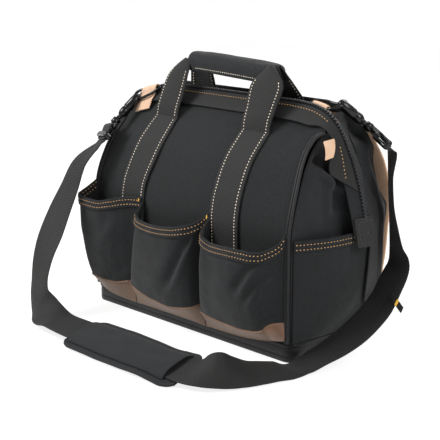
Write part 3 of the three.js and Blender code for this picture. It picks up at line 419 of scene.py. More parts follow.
def lacquer_finish(name, dark, light, rough, metallic):
    """Glossy lacquer: a dark colour with faint scuffs that change its gloss."""
    material, thread, shader = start_finish(name)
    scuffs = spots(thread, SCUFF_SCALE, detail=4.0)
    haze = spots(thread, HAZE_SCALE, detail=2.0)
    base = (scuffs * LACQUER_SCUFFS + haze * LACQUER_HAZE).blend(dark, light)
    dress(thread, shader, base, scuffs * LACQUER_DULL + rough, scuffs, LACQUER_RELIEF, {
        "Metallic": metallic,
        "Specular IOR Level": 0.3,
        "Coat Weight": 0.15,
        "Coat Roughness": 0.04,
    })
    return material


TWIST_SCALE = 1500.0
WEAR_SCALE = 60.0
YARN_TWIST = 0.6
YARN_WEAR = 0.4
YARN_DULL = 0.2
YARN_ROUGH = 0.55
YARN_RELIEF = 0.0001


def yarn_finish(name, dark, light):
    """Sewing thread: two twisted shades and a soft sheen."""
    material, thread, shader = start_finish(name)
    twist = spots(thread, TWIST_SCALE, detail=1.0)
    wear = spots(thread, WEAR_SCALE, detail=2.0)
    base = (twist * YARN_TWIST + wear * YARN_WEAR).blend(dark, light)
    dress(thread, shader, base, twist * YARN_DULL + YARN_ROUGH, twist, YARN_RELIEF, {"Sheen Weight": 0.2})
    return material


print("leather, lacquer and yarn can be made")

# %% [markdown]
# Each finish has a dark and a light colour, chosen to match the photograph's shaded and lit places. One
# grey for all the black parts would make them look like one moulded piece, so cloth, smooth cloth, coated
# cloth, piping and the two webs each have their own. The piping is the coated cloth made lighter: its lighter
# grey is a painted highlight for the light on the beads' crests.

# %% The bag's finishes
RIB_PITCH = 3.9
FINE_PITCH = 2.4
BLACK_CLOTH = cloth_finish("black_cloth", colour(15, 16, 17), colour(47, 49, 51), 0.0011, 0.8)
SMOOTH_CLOTH = cloth_finish("smooth_black_cloth", colour(15, 16, 18), colour(45, 47, 50), 0.0008, 0.66)
COATED = {"pitch": 0.0014, "relief": 0.0002, "sheen": 0.03}
COATED_CLOTH = cloth_finish("coated_black_cloth", colour(7, 7, 8), colour(26, 26, 28), rough=0.34, **COATED)
# The piping cloth is lighter than the coated cloth: a painted highlight on the beads.
PIPING_CLOTH_WITH_PAINTED_HIGHLIGHT = cloth_finish("piping_cloth_with_painted_highlight", colour(16, 16, 17), colour(60, 60, 62), rough=0.42, **COATED)
# A web's last number is how strongly painted shade darkens its rib valleys; the strap's is the strongest.
BLACK_WEB = web_finish("black_web", colour(14, 14, 14), colour(52, 52, 51), FINE_PITCH * MM, 0.66, 0.22)
STRAP_WEB = web_finish("strap_web", colour(9, 9, 9), colour(41, 40, 39), RIB_PITCH * MM, 0.6, 0.6)
TAN_LEATHER = leather_finish("tan_leather", colour(200, 158, 124), colour(236, 204, 176), 0.5)
TAUPE_LEATHER = leather_finish("taupe_leather", colour(80, 60, 45), colour(116, 91, 70), 0.45, coat=0.1)
SHINY = {"rough": 0.25, "coat": 0.5}
# This brown leather is the feet's bead. On the right foot's side its lighter colour is a painted highlight.
PIPING_AND_HIGHLIGHT_LEATHER = leather_finish("piping_and_painted_highlight_leather", colour(72, 48, 31), colour(146, 104, 74), **SHINY)
BLACK_LACQUER = lacquer_finish("black_lacquer", colour(3, 3, 4), colour(16, 16, 18), 0.1, 0.0)
ZIP_PLASTIC = lacquer_finish("zip_plastic", colour(15, 15, 16), colour(72, 73, 76), 0.32, 0.0)
TAN_YARN = yarn_finish("tan_yarn", colour(166, 120, 70), colour(222, 176, 118))
CREAM_YARN = yarn_finish("cream_yarn", colour(206, 190, 168), colour(244, 234, 218))
YELLOW_YARN = yarn_finish("yellow_yarn", colour(232, 168, 30), colour(255, 206, 70))
BLACK_YARN = yarn_finish("black_yarn", colour(22, 22, 24), colour(56, 56, 60))
BROWN_YARN = yarn_finish("brown_yarn", colour(70, 48, 32), colour(126, 92, 66))
print("finishes:", len(bpy.data.materials))

# %% [markdown]
# Every piece of the bag starts as an array of points, most often a grid: a function of two parameters.
# Modelling by hand in Edit Mode would do for one pocket, but a formula keeps the seams of all the pieces
# together. The arrays go into the mesh whole, which is quick for many points.


# %% Meshes from arrays
def make(name, points, face_groups, finish, spread, nodes=(), slot=None):
    """Puts points, faces and the map into a new mesh in metres, and lets it ride on the bag."""
    points = np.asarray(points, float).reshape(-1, 3) * MM + MIDDLE
    groups = [np.asarray(group, np.int32) for group in face_groups if len(group)]
    corners = np.concatenate([group.ravel() for group in groups])
    totals = np.concatenate([np.full(len(group), group.shape[1], np.int32) for group in groups])
    mesh = bpy.data.meshes.new(name)
    mesh.vertices.add(len(points))
    mesh.vertices.foreach_set("co", points.ravel())
    mesh.loops.add(len(corners))
    mesh.loops.foreach_set("vertex_index", corners)
    mesh.polygons.add(len(totals))
    mesh.polygons.foreach_set("loop_start", np.concatenate([[0], np.cumsum(totals)[:-1]]).astype(np.int32))
    mesh.polygons.foreach_set("loop_total", totals)
    mesh.polygons.foreach_set("use_smooth", np.ones(len(totals), bool))
    layer = mesh.uv_layers.new(name="lengths")
    layer.data.foreach_set("uv", (np.asarray(spread, float).reshape(-1, 2)[corners] * MM).ravel())
    mesh.update(calc_edges=True)
    mesh.validate()
    mesh.materials.append(finish)
    piece = bpy.data.objects.new(name, mesh)
    scene.collection.objects.link(piece)
    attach(piece, "root")
    if nodes:
        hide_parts(*nodes)
        slots = [part["material_slot"] for part in frame["record"]["subparts"] if part["node"] == nodes[0]]
    return piece


def grid(across, along, gather=False):
    """Two parameters on a grid, the first across and the second along, gathered to both sides if asked."""
    line = np.linspace(0, 1, across)
    if gather:
        line = (1 - np.cos(math.pi * line)) / 2
    v, u = np.meshgrid(np.linspace(0, 1, along), line, indexing="ij")
    return u, v


def normals_of(points):
    """Unit normals of a grid of points: the cross product of its steps across and along."""
    return unit(np.cross(np.gradient(points, axis=1), np.gradient(points, axis=0)))


def lengths_of(points):
    """Running lengths across and along a grid of points."""
    across = np.linalg.norm(np.diff(points, axis=1), axis=-1).cumsum(axis=1)
    along = np.linalg.norm(np.diff(points, axis=0), axis=-1).cumsum(axis=0)
    across = np.pad(across, ((0, 0), (1, 0)))
    along = np.pad(along, ((1, 0), (0, 0)))
    return np.stack([across, along], axis=-1)


def quads(index):
    """The four corners of each cell of a grid of vertex numbers."""
    return np.stack([index[:-1, :-1], index[:-1, 1:], index[1:, 1:], index[1:, :-1]], axis=-1).reshape(-1, 4)


print("arrays can become meshes")

# %% [markdown]
# Cloth, web and leather are walls: a surface given a thickness along its normals. A Solidify modifier does
# that too, but it leaves square edges. Here the rim is a half circle, as on a folded edge, and each face may
# move on its own, for ribs and padding.

# %% Walls
RIM_ANGLES = np.radians([45, 90, 135])


def wall(name, points, low, high, finish, nodes=(), slot=None):
    """A closed wall: a grid moved out to high and in to low along its normals, with a half-round rim."""
    rows, columns = points.shape[:2]
    way = normals_of(points)
    outer = points + way * np.broadcast_to(high, (rows, columns))[..., None]
    inner = points + way * np.broadcast_to(low, (rows, columns))[..., None]
    index = np.arange(rows * columns).reshape(rows, columns)
    edge = np.concatenate([index[0, :-1], index[:-1, -1], index[-1, :0:-1], index[:0:-1, 0]])
    inside = np.clip(edge // columns, 1, rows - 2) * columns + np.clip(edge % columns, 1, columns - 2)
    flat = points.reshape(-1, 3)
    middle = (outer.reshape(-1, 3)[edge] + inner.reshape(-1, 3)[edge]) / 2
    half = outer.reshape(-1, 3)[edge] - middle
    size = np.linalg.norm(half, axis=-1, keepdims=True)
    out = flat[edge] - flat[inside]
    out = unit(out - half * (out * half).sum(-1, keepdims=True) / np.maximum(size, TINY) ** 2)
    arcs = [middle + half * math.cos(a) + out * size * math.sin(a) for a in RIM_ANGLES]
    count = rows * columns
    rim_index = np.array([
        edge,
        *(2 * count + k * len(edge) + np.arange(len(edge)) for k in range(len(arcs))),
        count + edge,
    ])
    rim_index = np.concatenate([rim_index, rim_index[:, :1]], axis=1)
    spread = lengths_of(points).reshape(-1, 2)
    vertices = np.concatenate([outer.reshape(-1, 3), inner.reshape(-1, 3), *arcs])
    faces = [quads(index), quads(count + index)[:, ::-1], quads(rim_index)[:, ::-1]]
    places = np.concatenate([spread, spread] + [spread[edge]] * len(arcs))
    return make(name, vertices, faces, finish, places, nodes, slot)


print("angles on a rim:", len(RIM_ANGLES))

# %% [markdown]
# Piping, wires and hooks are profiles carried along a path. Blender's curves with a bevel make such tubes
# too. Rings of points in an array were chosen because their radius can change along the path, and because
# several bodies can be joined into one piece.


# %% Cords and wires
def tube(points, closed=False):
    """Vertices, faces and map of rings of points joined in turn, with caps unless the tube is closed."""
    steps, sides = points.shape[:2]
    index = np.arange(steps * sides).reshape(steps, sides)
    ring = np.concatenate([index, index[:, :1]], axis=1)
    if closed:
        ring = np.concatenate([ring, ring[:1]], axis=0)
    caps = [] if closed else [index[:1, ::-1], index[-1:]]
    spread = lengths_of(points)
    return points.reshape(-1, 3), [quads(ring), *caps], spread.reshape(-1, 2)


def sweep(path, side, sections, closed=False):
    """Vertices and faces of a profile carried along a path: sections are points across and up it."""
    way = unit(np.gradient(path, axis=0))
    if closed:
        way = unit(np.roll(path, -1, axis=0) - np.roll(path, 1, axis=0))
    across = unit(side - way * (side * way).sum(-1, keepdims=True))
    up = np.cross(way, across)
    return tube(path[:, None] + across[:, None] * sections[..., :1] + up[:, None] * sections[..., 1:], closed)


def circle(radius, sides, steps, flat=1.0):
    """A round profile for each of some steps: the radius may change along the way."""
    angle = np.arange(sides) * 2 * math.pi / sides
    ring = np.stack([np.cos(angle), np.sin(angle) * flat], axis=-1)
    return np.broadcast_to(radius, (steps,))[:, None, None] * ring


def joined(*bodies):
    """Several bodies of points, faces and maps as one."""
    points = [body[0] for body in bodies]
    starts = np.cumsum([0] + [len(body) for body in points[:-1]])
    faces = [group + start for body, start in zip(bodies, starts) for group in body[1]]
    return np.concatenate(points), faces, np.concatenate([body[2] for body in bodies])


def cord_along(path, radius, sides, side=(0.0, 0.0, 1.0), closed=False, flat=1.0):
    """A round cord or wire along a path."""
    sections = circle(radius, sides, len(path), flat)
    return sweep(path, np.broadcast_to(np.array(side, float), path.shape), sections, closed)


print("cords and wires can be made")

# %% [markdown]
# Sewing shows all over the bag as rows of short bars of yarn. A dashed texture would stay flat in the light,
# so each stitch is a small round bar. All the stitches of a kind of seam are worked out as one array and
# become one mesh.


# %% Stitches
def even_line(points, normals, pitch):
    """Places, directions and normals every pitch along a dense line of points."""
    step = np.linalg.norm(np.diff(points, axis=0), axis=-1)
    run = np.concatenate([[0], step.cumsum()])
    at = np.arange(pitch / 2, run[-1], pitch)
    spots_at = np.stack([np.interp(at, run, points[:, k]) for k in range(3)], axis=-1)
    ways = np.stack([np.interp(at, run, np.gradient(points[:, k], run)) for k in range(3)], axis=-1)
    ups = np.stack([np.interp(at, run, normals[:, k]) for k in range(3)], axis=-1)
    return spots_at, unit(ways), unit(ups)


# A kind of stitch has a pitch, a length and a radius.
HEM_STITCH = (4.9, 2.0, 0.58)
LEG_SEAM = (4.2, 2.1, 0.68)
BAR_STITCH = (1.2, 1.8, 0.85)
STITCH_SIDES = 6
STITCH_LIFT = 0.25
STITCH_STATIONS = np.array([-0.5, -0.36, 0.0, 0.36, 0.5])
STITCH_GIRTH = np.array([0.45, 0.95, 1.0, 0.95, 0.45])


def stitches(name, lines, pitch, length, radius, finish, slot):
    """Short bars of yarn end to end along lines: a round bar, pinched where it goes through the cloth."""
    bodies = [even_line(points, normals, pitch) for points, normals in lines]
    at, way, up = (np.concatenate([body[k] for body in bodies]) for k in range(3))
    side = np.cross(way, up)
    angle = np.arange(STITCH_SIDES) * 2 * math.pi / STITCH_SIDES
    along = (STITCH_STATIONS * length)[None, :, None, None] * way[:, None, None, :]
    girth = (STITCH_GIRTH * radius)[None, :, None, None]
    ring = np.cos(angle)[None, None, :, None] * side[:, None, None, :]
    ring = ring + np.sin(angle)[None, None, :, None] * up[:, None, None, :]
    points = at[:, None, None, :] + (up * STITCH_LIFT * radius)[:, None, None, :] + along + girth * ring
    count = len(at)
    index = np.arange(points.size // 3).reshape(count, len(STITCH_STATIONS), STITCH_SIDES)
    ring_index = np.concatenate([index, index[..., :1]], axis=-1)
    sides = np.stack([
        ring_index[:, :-1, :-1],
        ring_index[:, :-1, 1:],
        ring_index[:, 1:, 1:],
        ring_index[:, 1:, :-1],
    ], axis=-1).reshape(-1, 4)
    faces = [sides, index[:, 0, ::-1], index[:, -1]]
    return make(name, points, faces, finish, np.zeros((points.size // 3, 2)), slot=slot)


FACING_STEP = 0.002


def facing(surface, u, v):
    """Unit normals of a surface at chosen parameters: the cross product of short steps across and along."""
    across = surface(np.minimum(u + FACING_STEP, 1), v) - surface(np.maximum(u - FACING_STEP, 0), v)
    along = surface(u, np.minimum(v + FACING_STEP, 1)) - surface(u, np.maximum(v - FACING_STEP, 0))
    return unit(np.cross(across, along))


def line_on(surface, u, v, lift):
    """A dense line on a surface, lifted off it, with its normals."""
    u, v = np.broadcast_arrays(np.asarray(u, float), np.asarray(v, float))
    up = facing(surface, u, v)
    return surface(u, v) + up * lift, up


SEWN_STEPS = 240
SEWN = np.linspace(0, 1, SEWN_STEPS)
print("sides of a stitch:", STITCH_SIDES)

# %% [markdown]
# The zip runs along the ridge of the bag and down over both ends, where it hangs as a tongue. The bands at
# both sides fall away from it, and the left half sags. A curve drawn by eye would do for the zip alone. The
# bands, tape, teeth and rings all need places on it, so its line is a table from mid length outwards.

# %% The zip line
MOUTH = table(
    "run x up drift fall tuck sag",
    (0, 0, 327, 0, 48, 0, 0),
    (120, 120, 327, 0, 48, 0, 1),
    (155, 155, 325, 0, 48, 0, 6),
    (178, 177, 320, 0, 45, 2, 8),
    (196, 193, 311, 0, 38, 6, 8),
    (214, 205, 297, 2, 28, 13, 6),
    (234, 213, 279, 5, 16, 22, 3),
    (262, 221, 252, 11, 6, 30, 0),
    (298, 228, 217, 17, 0, 22, 0),
    (334, 233, 181, 21, 0, 14, 0),
    (370, 237, 145, 24, 0, 10, 0),
)
MOUTH_CURVES = {name: column(MOUTH, "run", name) for name in MOUTH if name != "run"}
even_ridge_up = column(MOUTH, "x", "up")
even_ridge_sag = column(MOUTH, "x", "sag")


def ridge_sag(x):
    """How far the ridge sags: only left of mid length."""
    return np.where(x < 0, even_ridge_sag(-x), 0)


def ridge_up(x):
    """Height of the ridge along the bag."""
    return even_ridge_up(np.abs(x)) - ridge_sag(x)


def mouth_point(run, off, side):
    """A place on the mouth: run along the zip, then off it to one side, down the band's slope."""
    way = np.abs(run)
    end = np.sign(run)
    at = {name: curve(way) for name, curve in MOUTH_CURVES.items()}
    fall = np.radians(at["fall"])
    tuck = np.radians(at["tuck"])
    x = end * (at["x"] - off * np.sin(tuck))
    y = at["drift"] + side * off * np.cos(tuck) * np.cos(fall)
    return stack(x, y, at["up"] - np.where(end < 0, at["sag"], 0) - off * np.sin(fall))


print("ridge height at mid length:", float(ridge_up(0.0)))

# %% [markdown]
# The shoulder strap is one web of 45 mm. Each end has a slide, a sewn loop and a snap hook, which holds a
# wire ring in a leather tab by the mouth. The web drops from the left ring, lies along the floor in front of
# the bag with its pad, turns on edge round the right end, and climbs to the right ring at the back.
# A simulated ribbon would fall in its own way. So the route is the part's list, in metres, with
# the plan angle and pitch of the web's width.

# %% The strap's sizes and route
STRAP_WIDTH = 45
WEB = 1.8
TAB_WIDTH = 24
RING_FALL = math.radians(48)
RING_BAR_DOWN = 9
RING_OFF = 6.9
EYE_TO = 61
EYE_WIRE = 4
LOOP_LENGTH = 26
LOOP_OFF = 4.2
STRAP_LEAD = 8

RING = table(
    "along down lift",
    (-18, 9, 0),
    (-9, 9, 0),
    (0, 9, 0),
    (9, 9, 0),
    (18, 9, 0),
    (25, 13, 0.45),
    (27, 19, 0.8),
    (22, 25, 1),
    (10, 27, 1),
    (-4, 24, 0.85),
    (-14, 17, 0.55),
)
LEFT_END = {
    "name": "left", "x": -154, "side": FRONT, "pull": -1, "reach": 1,
    "lift": 2.6, "aim": (-0.22, -0.69, -0.69), "turn": -35, "tab": (-17, 13),
}
RIGHT_END = {
    "name": "right", "x": 160, "side": BACK, "pull": 1, "reach": 0.45,
    "lift": 16, "aim": (0.403, 0.662, -0.633), "turn": 140, "tab": (-10, 13),
}
STRAP_ROUTE = table(
    "x y z turn pitch",
    (-0.210, -0.106, 0.208, -14, 0),
    (-0.213, -0.122, 0.176, -5, 0),
    (-0.211, -0.142, 0.145, 4, 0),
    (-0.204, -0.164, 0.114, 8, 0),
    (-0.197, -0.182, 0.087, 0, 4),
    (-0.189, -0.194, 0.066, -6, 8),
    (-0.180, -0.204, 0.046, -2, 24),
    (-0.166, -0.212, 0.030, 14, 44),
    (-0.143, -0.219, 0.021, 68, 34),
    (-0.106, -0.223, 0.0175, 90, 9),
    (-0.062, -0.224, 0.0165, 90, 12),
    (0.000, -0.224, 0.0165, 90, 14),
    (0.060, -0.224, 0.0165, 90, 14),
    (0.120, -0.224, 0.0165, 90, 14),
    (0.166, -0.223, 0.0172, 91, 23),
    (0.187, -0.218, 0.0215, 102, 38),
    (0.201, -0.206, 0.0234, 124, 50),
    (0.207, -0.184, 0.0176, 150, 36),
    (0.212, -0.156, 0.011, 168, 21),
    (0.217, -0.135, 0.0089, 171, 15),
    (0.221, -0.116, 0.0064, 176, 12),
    (0.224, -0.090, 0.0034, 176, -3),
    (0.231, -0.062, 0.013, 164, 4),
    (0.237, -0.034, 0.0225, 162, 10),
    (0.242, 0.001, 0.038, 161, 16),
    (0.246, 0.037, 0.063, 161, 18),
    (0.247, 0.057, 0.087, 162, 14),
    (0.243, 0.077, 0.112, 164, 3),
    (0.236, 0.082, 0.132, 151, 0),
    (0.230, 0.083, 0.161, 143, 0),
    (0.226, 0.082, 0.190, 137, 0),
    (0.223, 0.082, 0.226, 136, 0),
)
print("points of the route:", len(STRAP_ROUTE["x"]))

# %% [markdown]
# A ring hangs in its tab, the hook pulls at the ring, and the web leaves the hook in the hook's direction.
# Each could be placed by hand. Worked out in turn from the tab's place, they stay in touch with each other.

# %% The strap's ends
CLOSE = 1e-4
RING_STEPS = 144


def spline(points, knots, closed=False):
    """A centripetal Catmull-Rom curve through points, read at knots from nought to one."""
    points = np.asarray(points, float)
    if closed:
        padded = np.concatenate([points[-1:], points, points[:2]])
        spans = len(points)
    else:
        padded = np.concatenate([2 * points[:1] - points[1:2], points, 2 * points[-1:] - points[-2:-1]])
        spans = len(points) - 1
    place = clamp01(knots) * spans
    i = np.minimum(np.floor(place).astype(int), spans - 1)
    t = (place - i)[:, None]
    p = [padded[i + k] for k in range(4)]
    gaps = [np.linalg.norm(p[k + 1] - p[k], axis=-1, keepdims=True) ** 0.5 for k in range(3)]
    middle = np.where(gaps[1] < CLOSE, 1, gaps[1])
    first = np.where(gaps[0] < CLOSE, middle, gaps[0])
    last = np.where(gaps[2] < CLOSE, middle, gaps[2])
    out = ((p[1] - p[0]) / first - (p[2] - p[0]) / (first + middle) + (p[2] - p[1]) / middle) * middle
    into = ((p[2] - p[1]) / middle - (p[3] - p[1]) / (middle + last) + (p[3] - p[2]) / last) * middle
    rise = p[2] - p[1]
    return p[1] + out * t + (3 * rise - 2 * out - into) * t**2 + (out + into - 2 * rise) * t**3


def band_place(place, along, down, off, level=(-TAB_WIDTH / 2, TAB_WIDTH / 2)):
    """A place by a strap end: along the bag, down the band's slope and off it, level past two bounds."""
    y = place["side"] * (down * math.cos(RING_FALL) + off * math.sin(RING_FALL))
    height = ridge_up(place["x"] + np.clip(along, *level))
    return stack(place["x"] + along, y, height - down * math.sin(RING_FALL) + off * math.cos(RING_FALL))


def strap_end(place):
    """A strap end's directions, ring, seat of the hook, bar of its eye, and start of the web."""
    aim = unit(np.array(place["aim"]))
    plan = np.array([math.cos(math.radians(place["turn"])), math.sin(math.radians(place["turn"])), 0.0])
    width = unit(plan - aim * (plan @ aim))
    flat = np.cross(width, aim)
    down = RING_BAR_DOWN + (RING["down"] - RING_BAR_DOWN) * place["reach"]
    corners = band_place(place, RING["along"] * place["pull"], down, RING_OFF + RING["lift"] * place["lift"])
    ring = spline(corners, np.arange(RING_STEPS) / RING_STEPS, closed=True)
    bearing = int(np.argmax(ring @ aim))
    seat = ring[bearing]
    wire_way = unit(ring[(bearing + 1) % len(ring)] - ring[bearing - 1])
    bar = seat + aim * (EYE_TO - EYE_WIRE / 2)
    start = bar + aim * LOOP_LENGTH + flat * LOOP_OFF
    return {
        "aim": aim, "width": width, "flat": flat, "ring": ring, "seat": seat,
        "wire_way": wire_way, "bar": bar, "start": start,
    }


LEFT = strap_end(LEFT_END)
RIGHT = strap_end(RIGHT_END)
print("the web starts at", np.round(LEFT["start"]), "and ends at", np.round(RIGHT["start"]))

# %% [markdown]
# The strap's middle line is a smooth curve through its start, the route and its end. A curve's own parameter
# runs unevenly, so the run along a dense line of points is kept, and shares of the length are found in it.

# %% The strap's line
DENSE_STEPS = 6001
KNOT_STEP = 1e-4
turn = np.radians(STRAP_ROUTE["turn"])
pitch = np.radians(STRAP_ROUTE["pitch"])
ROUTE_POINTS = np.concatenate([
    [LEFT["start"], LEFT["start"] + LEFT["aim"] * STRAP_LEAD],
    np.stack([STRAP_ROUTE["x"], STRAP_ROUTE["y"], STRAP_ROUTE["z"]], axis=-1) / MM,
    [RIGHT["start"] + RIGHT["aim"] * STRAP_LEAD, RIGHT["start"]],
])
ROUTE_WIDTHS = np.concatenate([
    [LEFT["width"], LEFT["width"]],
    np.stack([np.cos(turn) * np.cos(pitch), np.sin(turn) * np.cos(pitch), np.sin(pitch)], axis=-1),
    [RIGHT["width"], RIGHT["width"]],
])
DENSE = np.linspace(0, 1, DENSE_STEPS)
DENSE_RUN = np.concatenate([
    [0],
    np.linalg.norm(np.diff(spline(ROUTE_POINTS, DENSE), axis=0), axis=-1).cumsum(),
])
STRAP_LENGTH = float(DENSE_RUN[-1])


def strap_frame(share):
    """Place, direction and width direction of the strap at shares of its length."""
    knots = np.interp(clamp01(share) * STRAP_LENGTH, DENSE_RUN, DENSE)
    ahead = spline(ROUTE_POINTS, clamp01(knots + KNOT_STEP))
    behind = spline(ROUTE_POINTS, clamp01(knots - KNOT_STEP))
    way = unit(ahead - behind)
    side = spline(ROUTE_WIDTHS, knots)
    side = unit(side - way * (side * way).sum(-1, keepdims=True))
    return spline(ROUTE_POINTS, knots), way, side


print("strap length in mm:", round(STRAP_LENGTH))

# %% [markdown]
# The web is woven with a rib at every pick. Bump alone would leave the edges of the web smooth, so the ribs
# are real: the two faces of its wall rise and fall along its length.

# %% The strap's web
STRAP_RIBS = (RIB_PITCH, 0.2)
FINE_RIBS = (FINE_PITCH, 0.1)


def ribbon(name, points, thick, finish, nodes=(), off=0.0, ribs=STRAP_RIBS):
    """A ribbed web: a wall on a grid of points whose faces rise in a rounded wave along it."""
    middle = points.shape[1] // 2
    run = np.concatenate([[0], np.linalg.norm(np.diff(points[:, middle], axis=0), axis=-1).cumsum()])
    pitch, high = ribs
    rib = (high * np.abs(np.sin(math.pi * run / pitch)))[:, None]
    return wall(name, points, off - thick / 2 - rib, off + thick / 2 + rib, finish, nodes)


STRAP_GRID = (5, 1600)
strap_u, strap_v = grid(*STRAP_GRID)
strap_at, _, strap_side = strap_frame(strap_v[:, 0])
strap_points = strap_at[:, None] + strap_side[:, None] * ((strap_u - 0.5) * STRAP_WIDTH)[..., None]
strap = ribbon("strap_web", strap_points, WEB, STRAP_WEB, ["shoulder_strap"])
print("strap triangles:", sum(len(face.vertices) - 2 for face in strap.data.polygons))

# %% [markdown]
# The pad is a strip of foam in cloth under the web, with a sewn flange all round, and a sleeve of cloth over
# the web. Cloth under pressure could be simulated, but its swell is hard to hold to the web. Both are made
# by moving a wall's faces in code: the foam swells between its seams and the sleeve bows over the web.

# %% The strap's pad
PAD_FROM_X = -58
PAD_TO_X = 160
PAD_FOAM = 5
PAD = table("part half", (0, 26), (0.03, 32), (0.08, 35.5), (0.92, 35.5), (0.97, 32), (1, 26))
pad_half = column(PAD, "part", "half")
PAD_GRID = (81, 121)
SEARCH_STEPS = 2001
PAD_SEARCH = np.linspace(0.2, 0.7, SEARCH_STEPS)
pad_xs = strap_frame(PAD_SEARCH)[0][:, 0]
PAD_FROM = float(PAD_SEARCH[np.argmin(np.abs(pad_xs - PAD_FROM_X))])
PAD_TO = float(PAD_SEARCH[np.argmin(np.abs(pad_xs - PAD_TO_X))])


def pad_at(part, off):
    """A place on the pad's plane: a share along the pad and a distance to one side of the web's middle."""
    at, _, side = strap_frame(mix(PAD_FROM, PAD_TO, part).ravel())
    spot = at + side * np.broadcast_to(off, part.shape).ravel()[:, None]
    return spot.reshape(*part.shape, 3)


UNDER_WEB = 0.6
PAD_TOP = -WEB / 2 - UNDER_WEB
PAD_DENT = 0.5
PAD_DENTS = (4, 9)
FOAM_SLOPE = 5
FLANGE = 7
FLANGE_THICK = 3.0
FLANGE_DROP = 0.3
SEAM_AT = 4.2
SEAM_DEEP = 0.7
SEAM_WIDE = 1.2
pad_u, pad_v = grid(*PAD_GRID)
pad_part = 1 - pad_v
pad_off = (pad_u - 0.5) * 2 * pad_half(pad_part)
pad_length = (PAD_TO - PAD_FROM) * STRAP_LENGTH
pad_edge = np.minimum(pad_half(pad_part) - np.abs(pad_off), np.minimum(pad_part, 1 - pad_part) * pad_length)
pad_fill = ease((pad_edge - FLANGE) / FOAM_SLOPE)
pad_soft = rumple(pad_u, pad_v, PAD_DENTS, seed=3) * PAD_DENT * pad_fill
pad_seam = SEAM_DEEP * np.exp(-(((pad_edge - SEAM_AT) / SEAM_WIDE) ** 2))
pad_high = PAD_TOP - FLANGE_DROP * (1 - pad_fill) - pad_seam
pad_low = PAD_TOP - mix(FLANGE_DROP + FLANGE_THICK, PAD_FOAM, pad_fill) + np.abs(pad_soft)
pad = wall("pad_foam", pad_at(pad_part, pad_off), pad_low, pad_high, SMOOTH_CLOTH, ["pad_base"])

SLEEVE_HALF = 27
SLEEVE_FROM = 0.045
SLEEVE_TO = 0.925
SLEEVE_CROWN = 6.4
SLEEVE_FOOT = -0.9
SLEEVE_CLOTH = 1.6
SLEEVE_DENT = 0.7
SLEEVE_DENTS = (3, 7)
SLEEVE_PUFF = 0.4
SLEEVE_GRID = (41, 121)


def sleeve_lift(u, v):
    """Height of the sleeve over the web's middle plane: high in the middle, sewn down at both sides."""
    soft = rumple(u, v, SLEEVE_DENTS, seed=5) * SLEEVE_DENT * (1 - (2 * u - 1) ** 2)
    return SLEEVE_FOOT + SLEEVE_CROWN * (1 - (2 * u - 1) ** 4) + np.minimum(soft, SLEEVE_PUFF)


def sleeve_surface(u, v):
    """The sleeve's lower face over the web."""
    points = pad_at(mix(SLEEVE_TO, SLEEVE_FROM, v), (u - 0.5) * 2 * SLEEVE_HALF)
    _, way, side = strap_frame(mix(PAD_FROM, PAD_TO, mix(SLEEVE_TO, SLEEVE_FROM, v)).ravel())
    up = np.cross(way, side).reshape(points.shape)
    return points + up * sleeve_lift(u, v)[..., None]


sleeve_points = sleeve_surface(*grid(*SLEEVE_GRID))
sleeve = wall("pad_cover", sleeve_points, 0, SLEEVE_CLOTH, SMOOTH_CLOTH, ["pad_sleeve"])
print("pad length in mm:", round(pad_length))

# %% [markdown]
# Rings, snap hooks and slides are lacquered steel. They could be cut from blocks, but the real ones are bent
# and turned. So each is a round or flat wire carried along its own path: the ring's path is the part's, the
# hook is a nose ring, a turned barrel and a wide eye for the web.

# %% Strap hardware
RING_WIRE = 2.1
HOOK_NOSE = 5.6
HOOK_NOSE_WIRE = 2.2
HOOK_SEAT = 1.5
EYE_NEAR = 51
EYE_WIDTH = 56
BARREL_RADIUS = 7.2
BARREL = table(
    "along share",
    (-6, 0.2),
    (-5, 0.6),
    (-1, 0.92),
    (6, 1),
    (20, 1.0),
    (21, 0.88),
    (23, 0.88),
    (24, 1.0),
    (31, 0.96),
    (35, 0.72),
    (36.5, 0.5),
    (42, 0.5),
    (43, 0.85),
    (51, 0.85),
    (53, 0.5),
)
SLIDE_AT = 15
SLIDE_HIGH = 13
SLIDE_OFF = 2.4
SLIDE_WIRE = 2.6
SLIDE_CORNER = 2.5
SLIDE_HALF = 4.4
SLIDE_FLAT = 0.4
EYE_CORNER = 2.8
RING_SIDES = 14
NOSE_STEPS = 40
WIRE_SIDES = 12
BARREL_SIDES = 24
LOOP_STEPS = 110
LOOP_ACROSS = 7
LOOP = table(
    "along off",
    (22, 0.36),
    (15, 0.3),
    (8, -0.4),
    (0.5, -1),
    (-2.94, -0.72),
    (-4.2, 0),
    (-2.94, 0.72),
    (0.5, 1),
    (13, 1),
    (25.4, 1),
)


def frame_path(middle, x_way, y_way, wide, high, corner, steps=24):
    """A rectangle with round corners as a closed path: four quarter circles in turn."""
    angle = np.concatenate([np.linspace(k, k + 1, steps) for k in range(4)]) * math.pi / 2
    corner_x = np.repeat([1, -1, -1, 1], steps) * (wide / 2 - corner)
    corner_y = np.repeat([1, 1, -1, -1], steps) * (high / 2 - corner)
    x = corner_x + corner * np.cos(angle)
    y = corner_y + corner * np.sin(angle)
    return middle + x[:, None] * x_way + y[:, None] * y_way


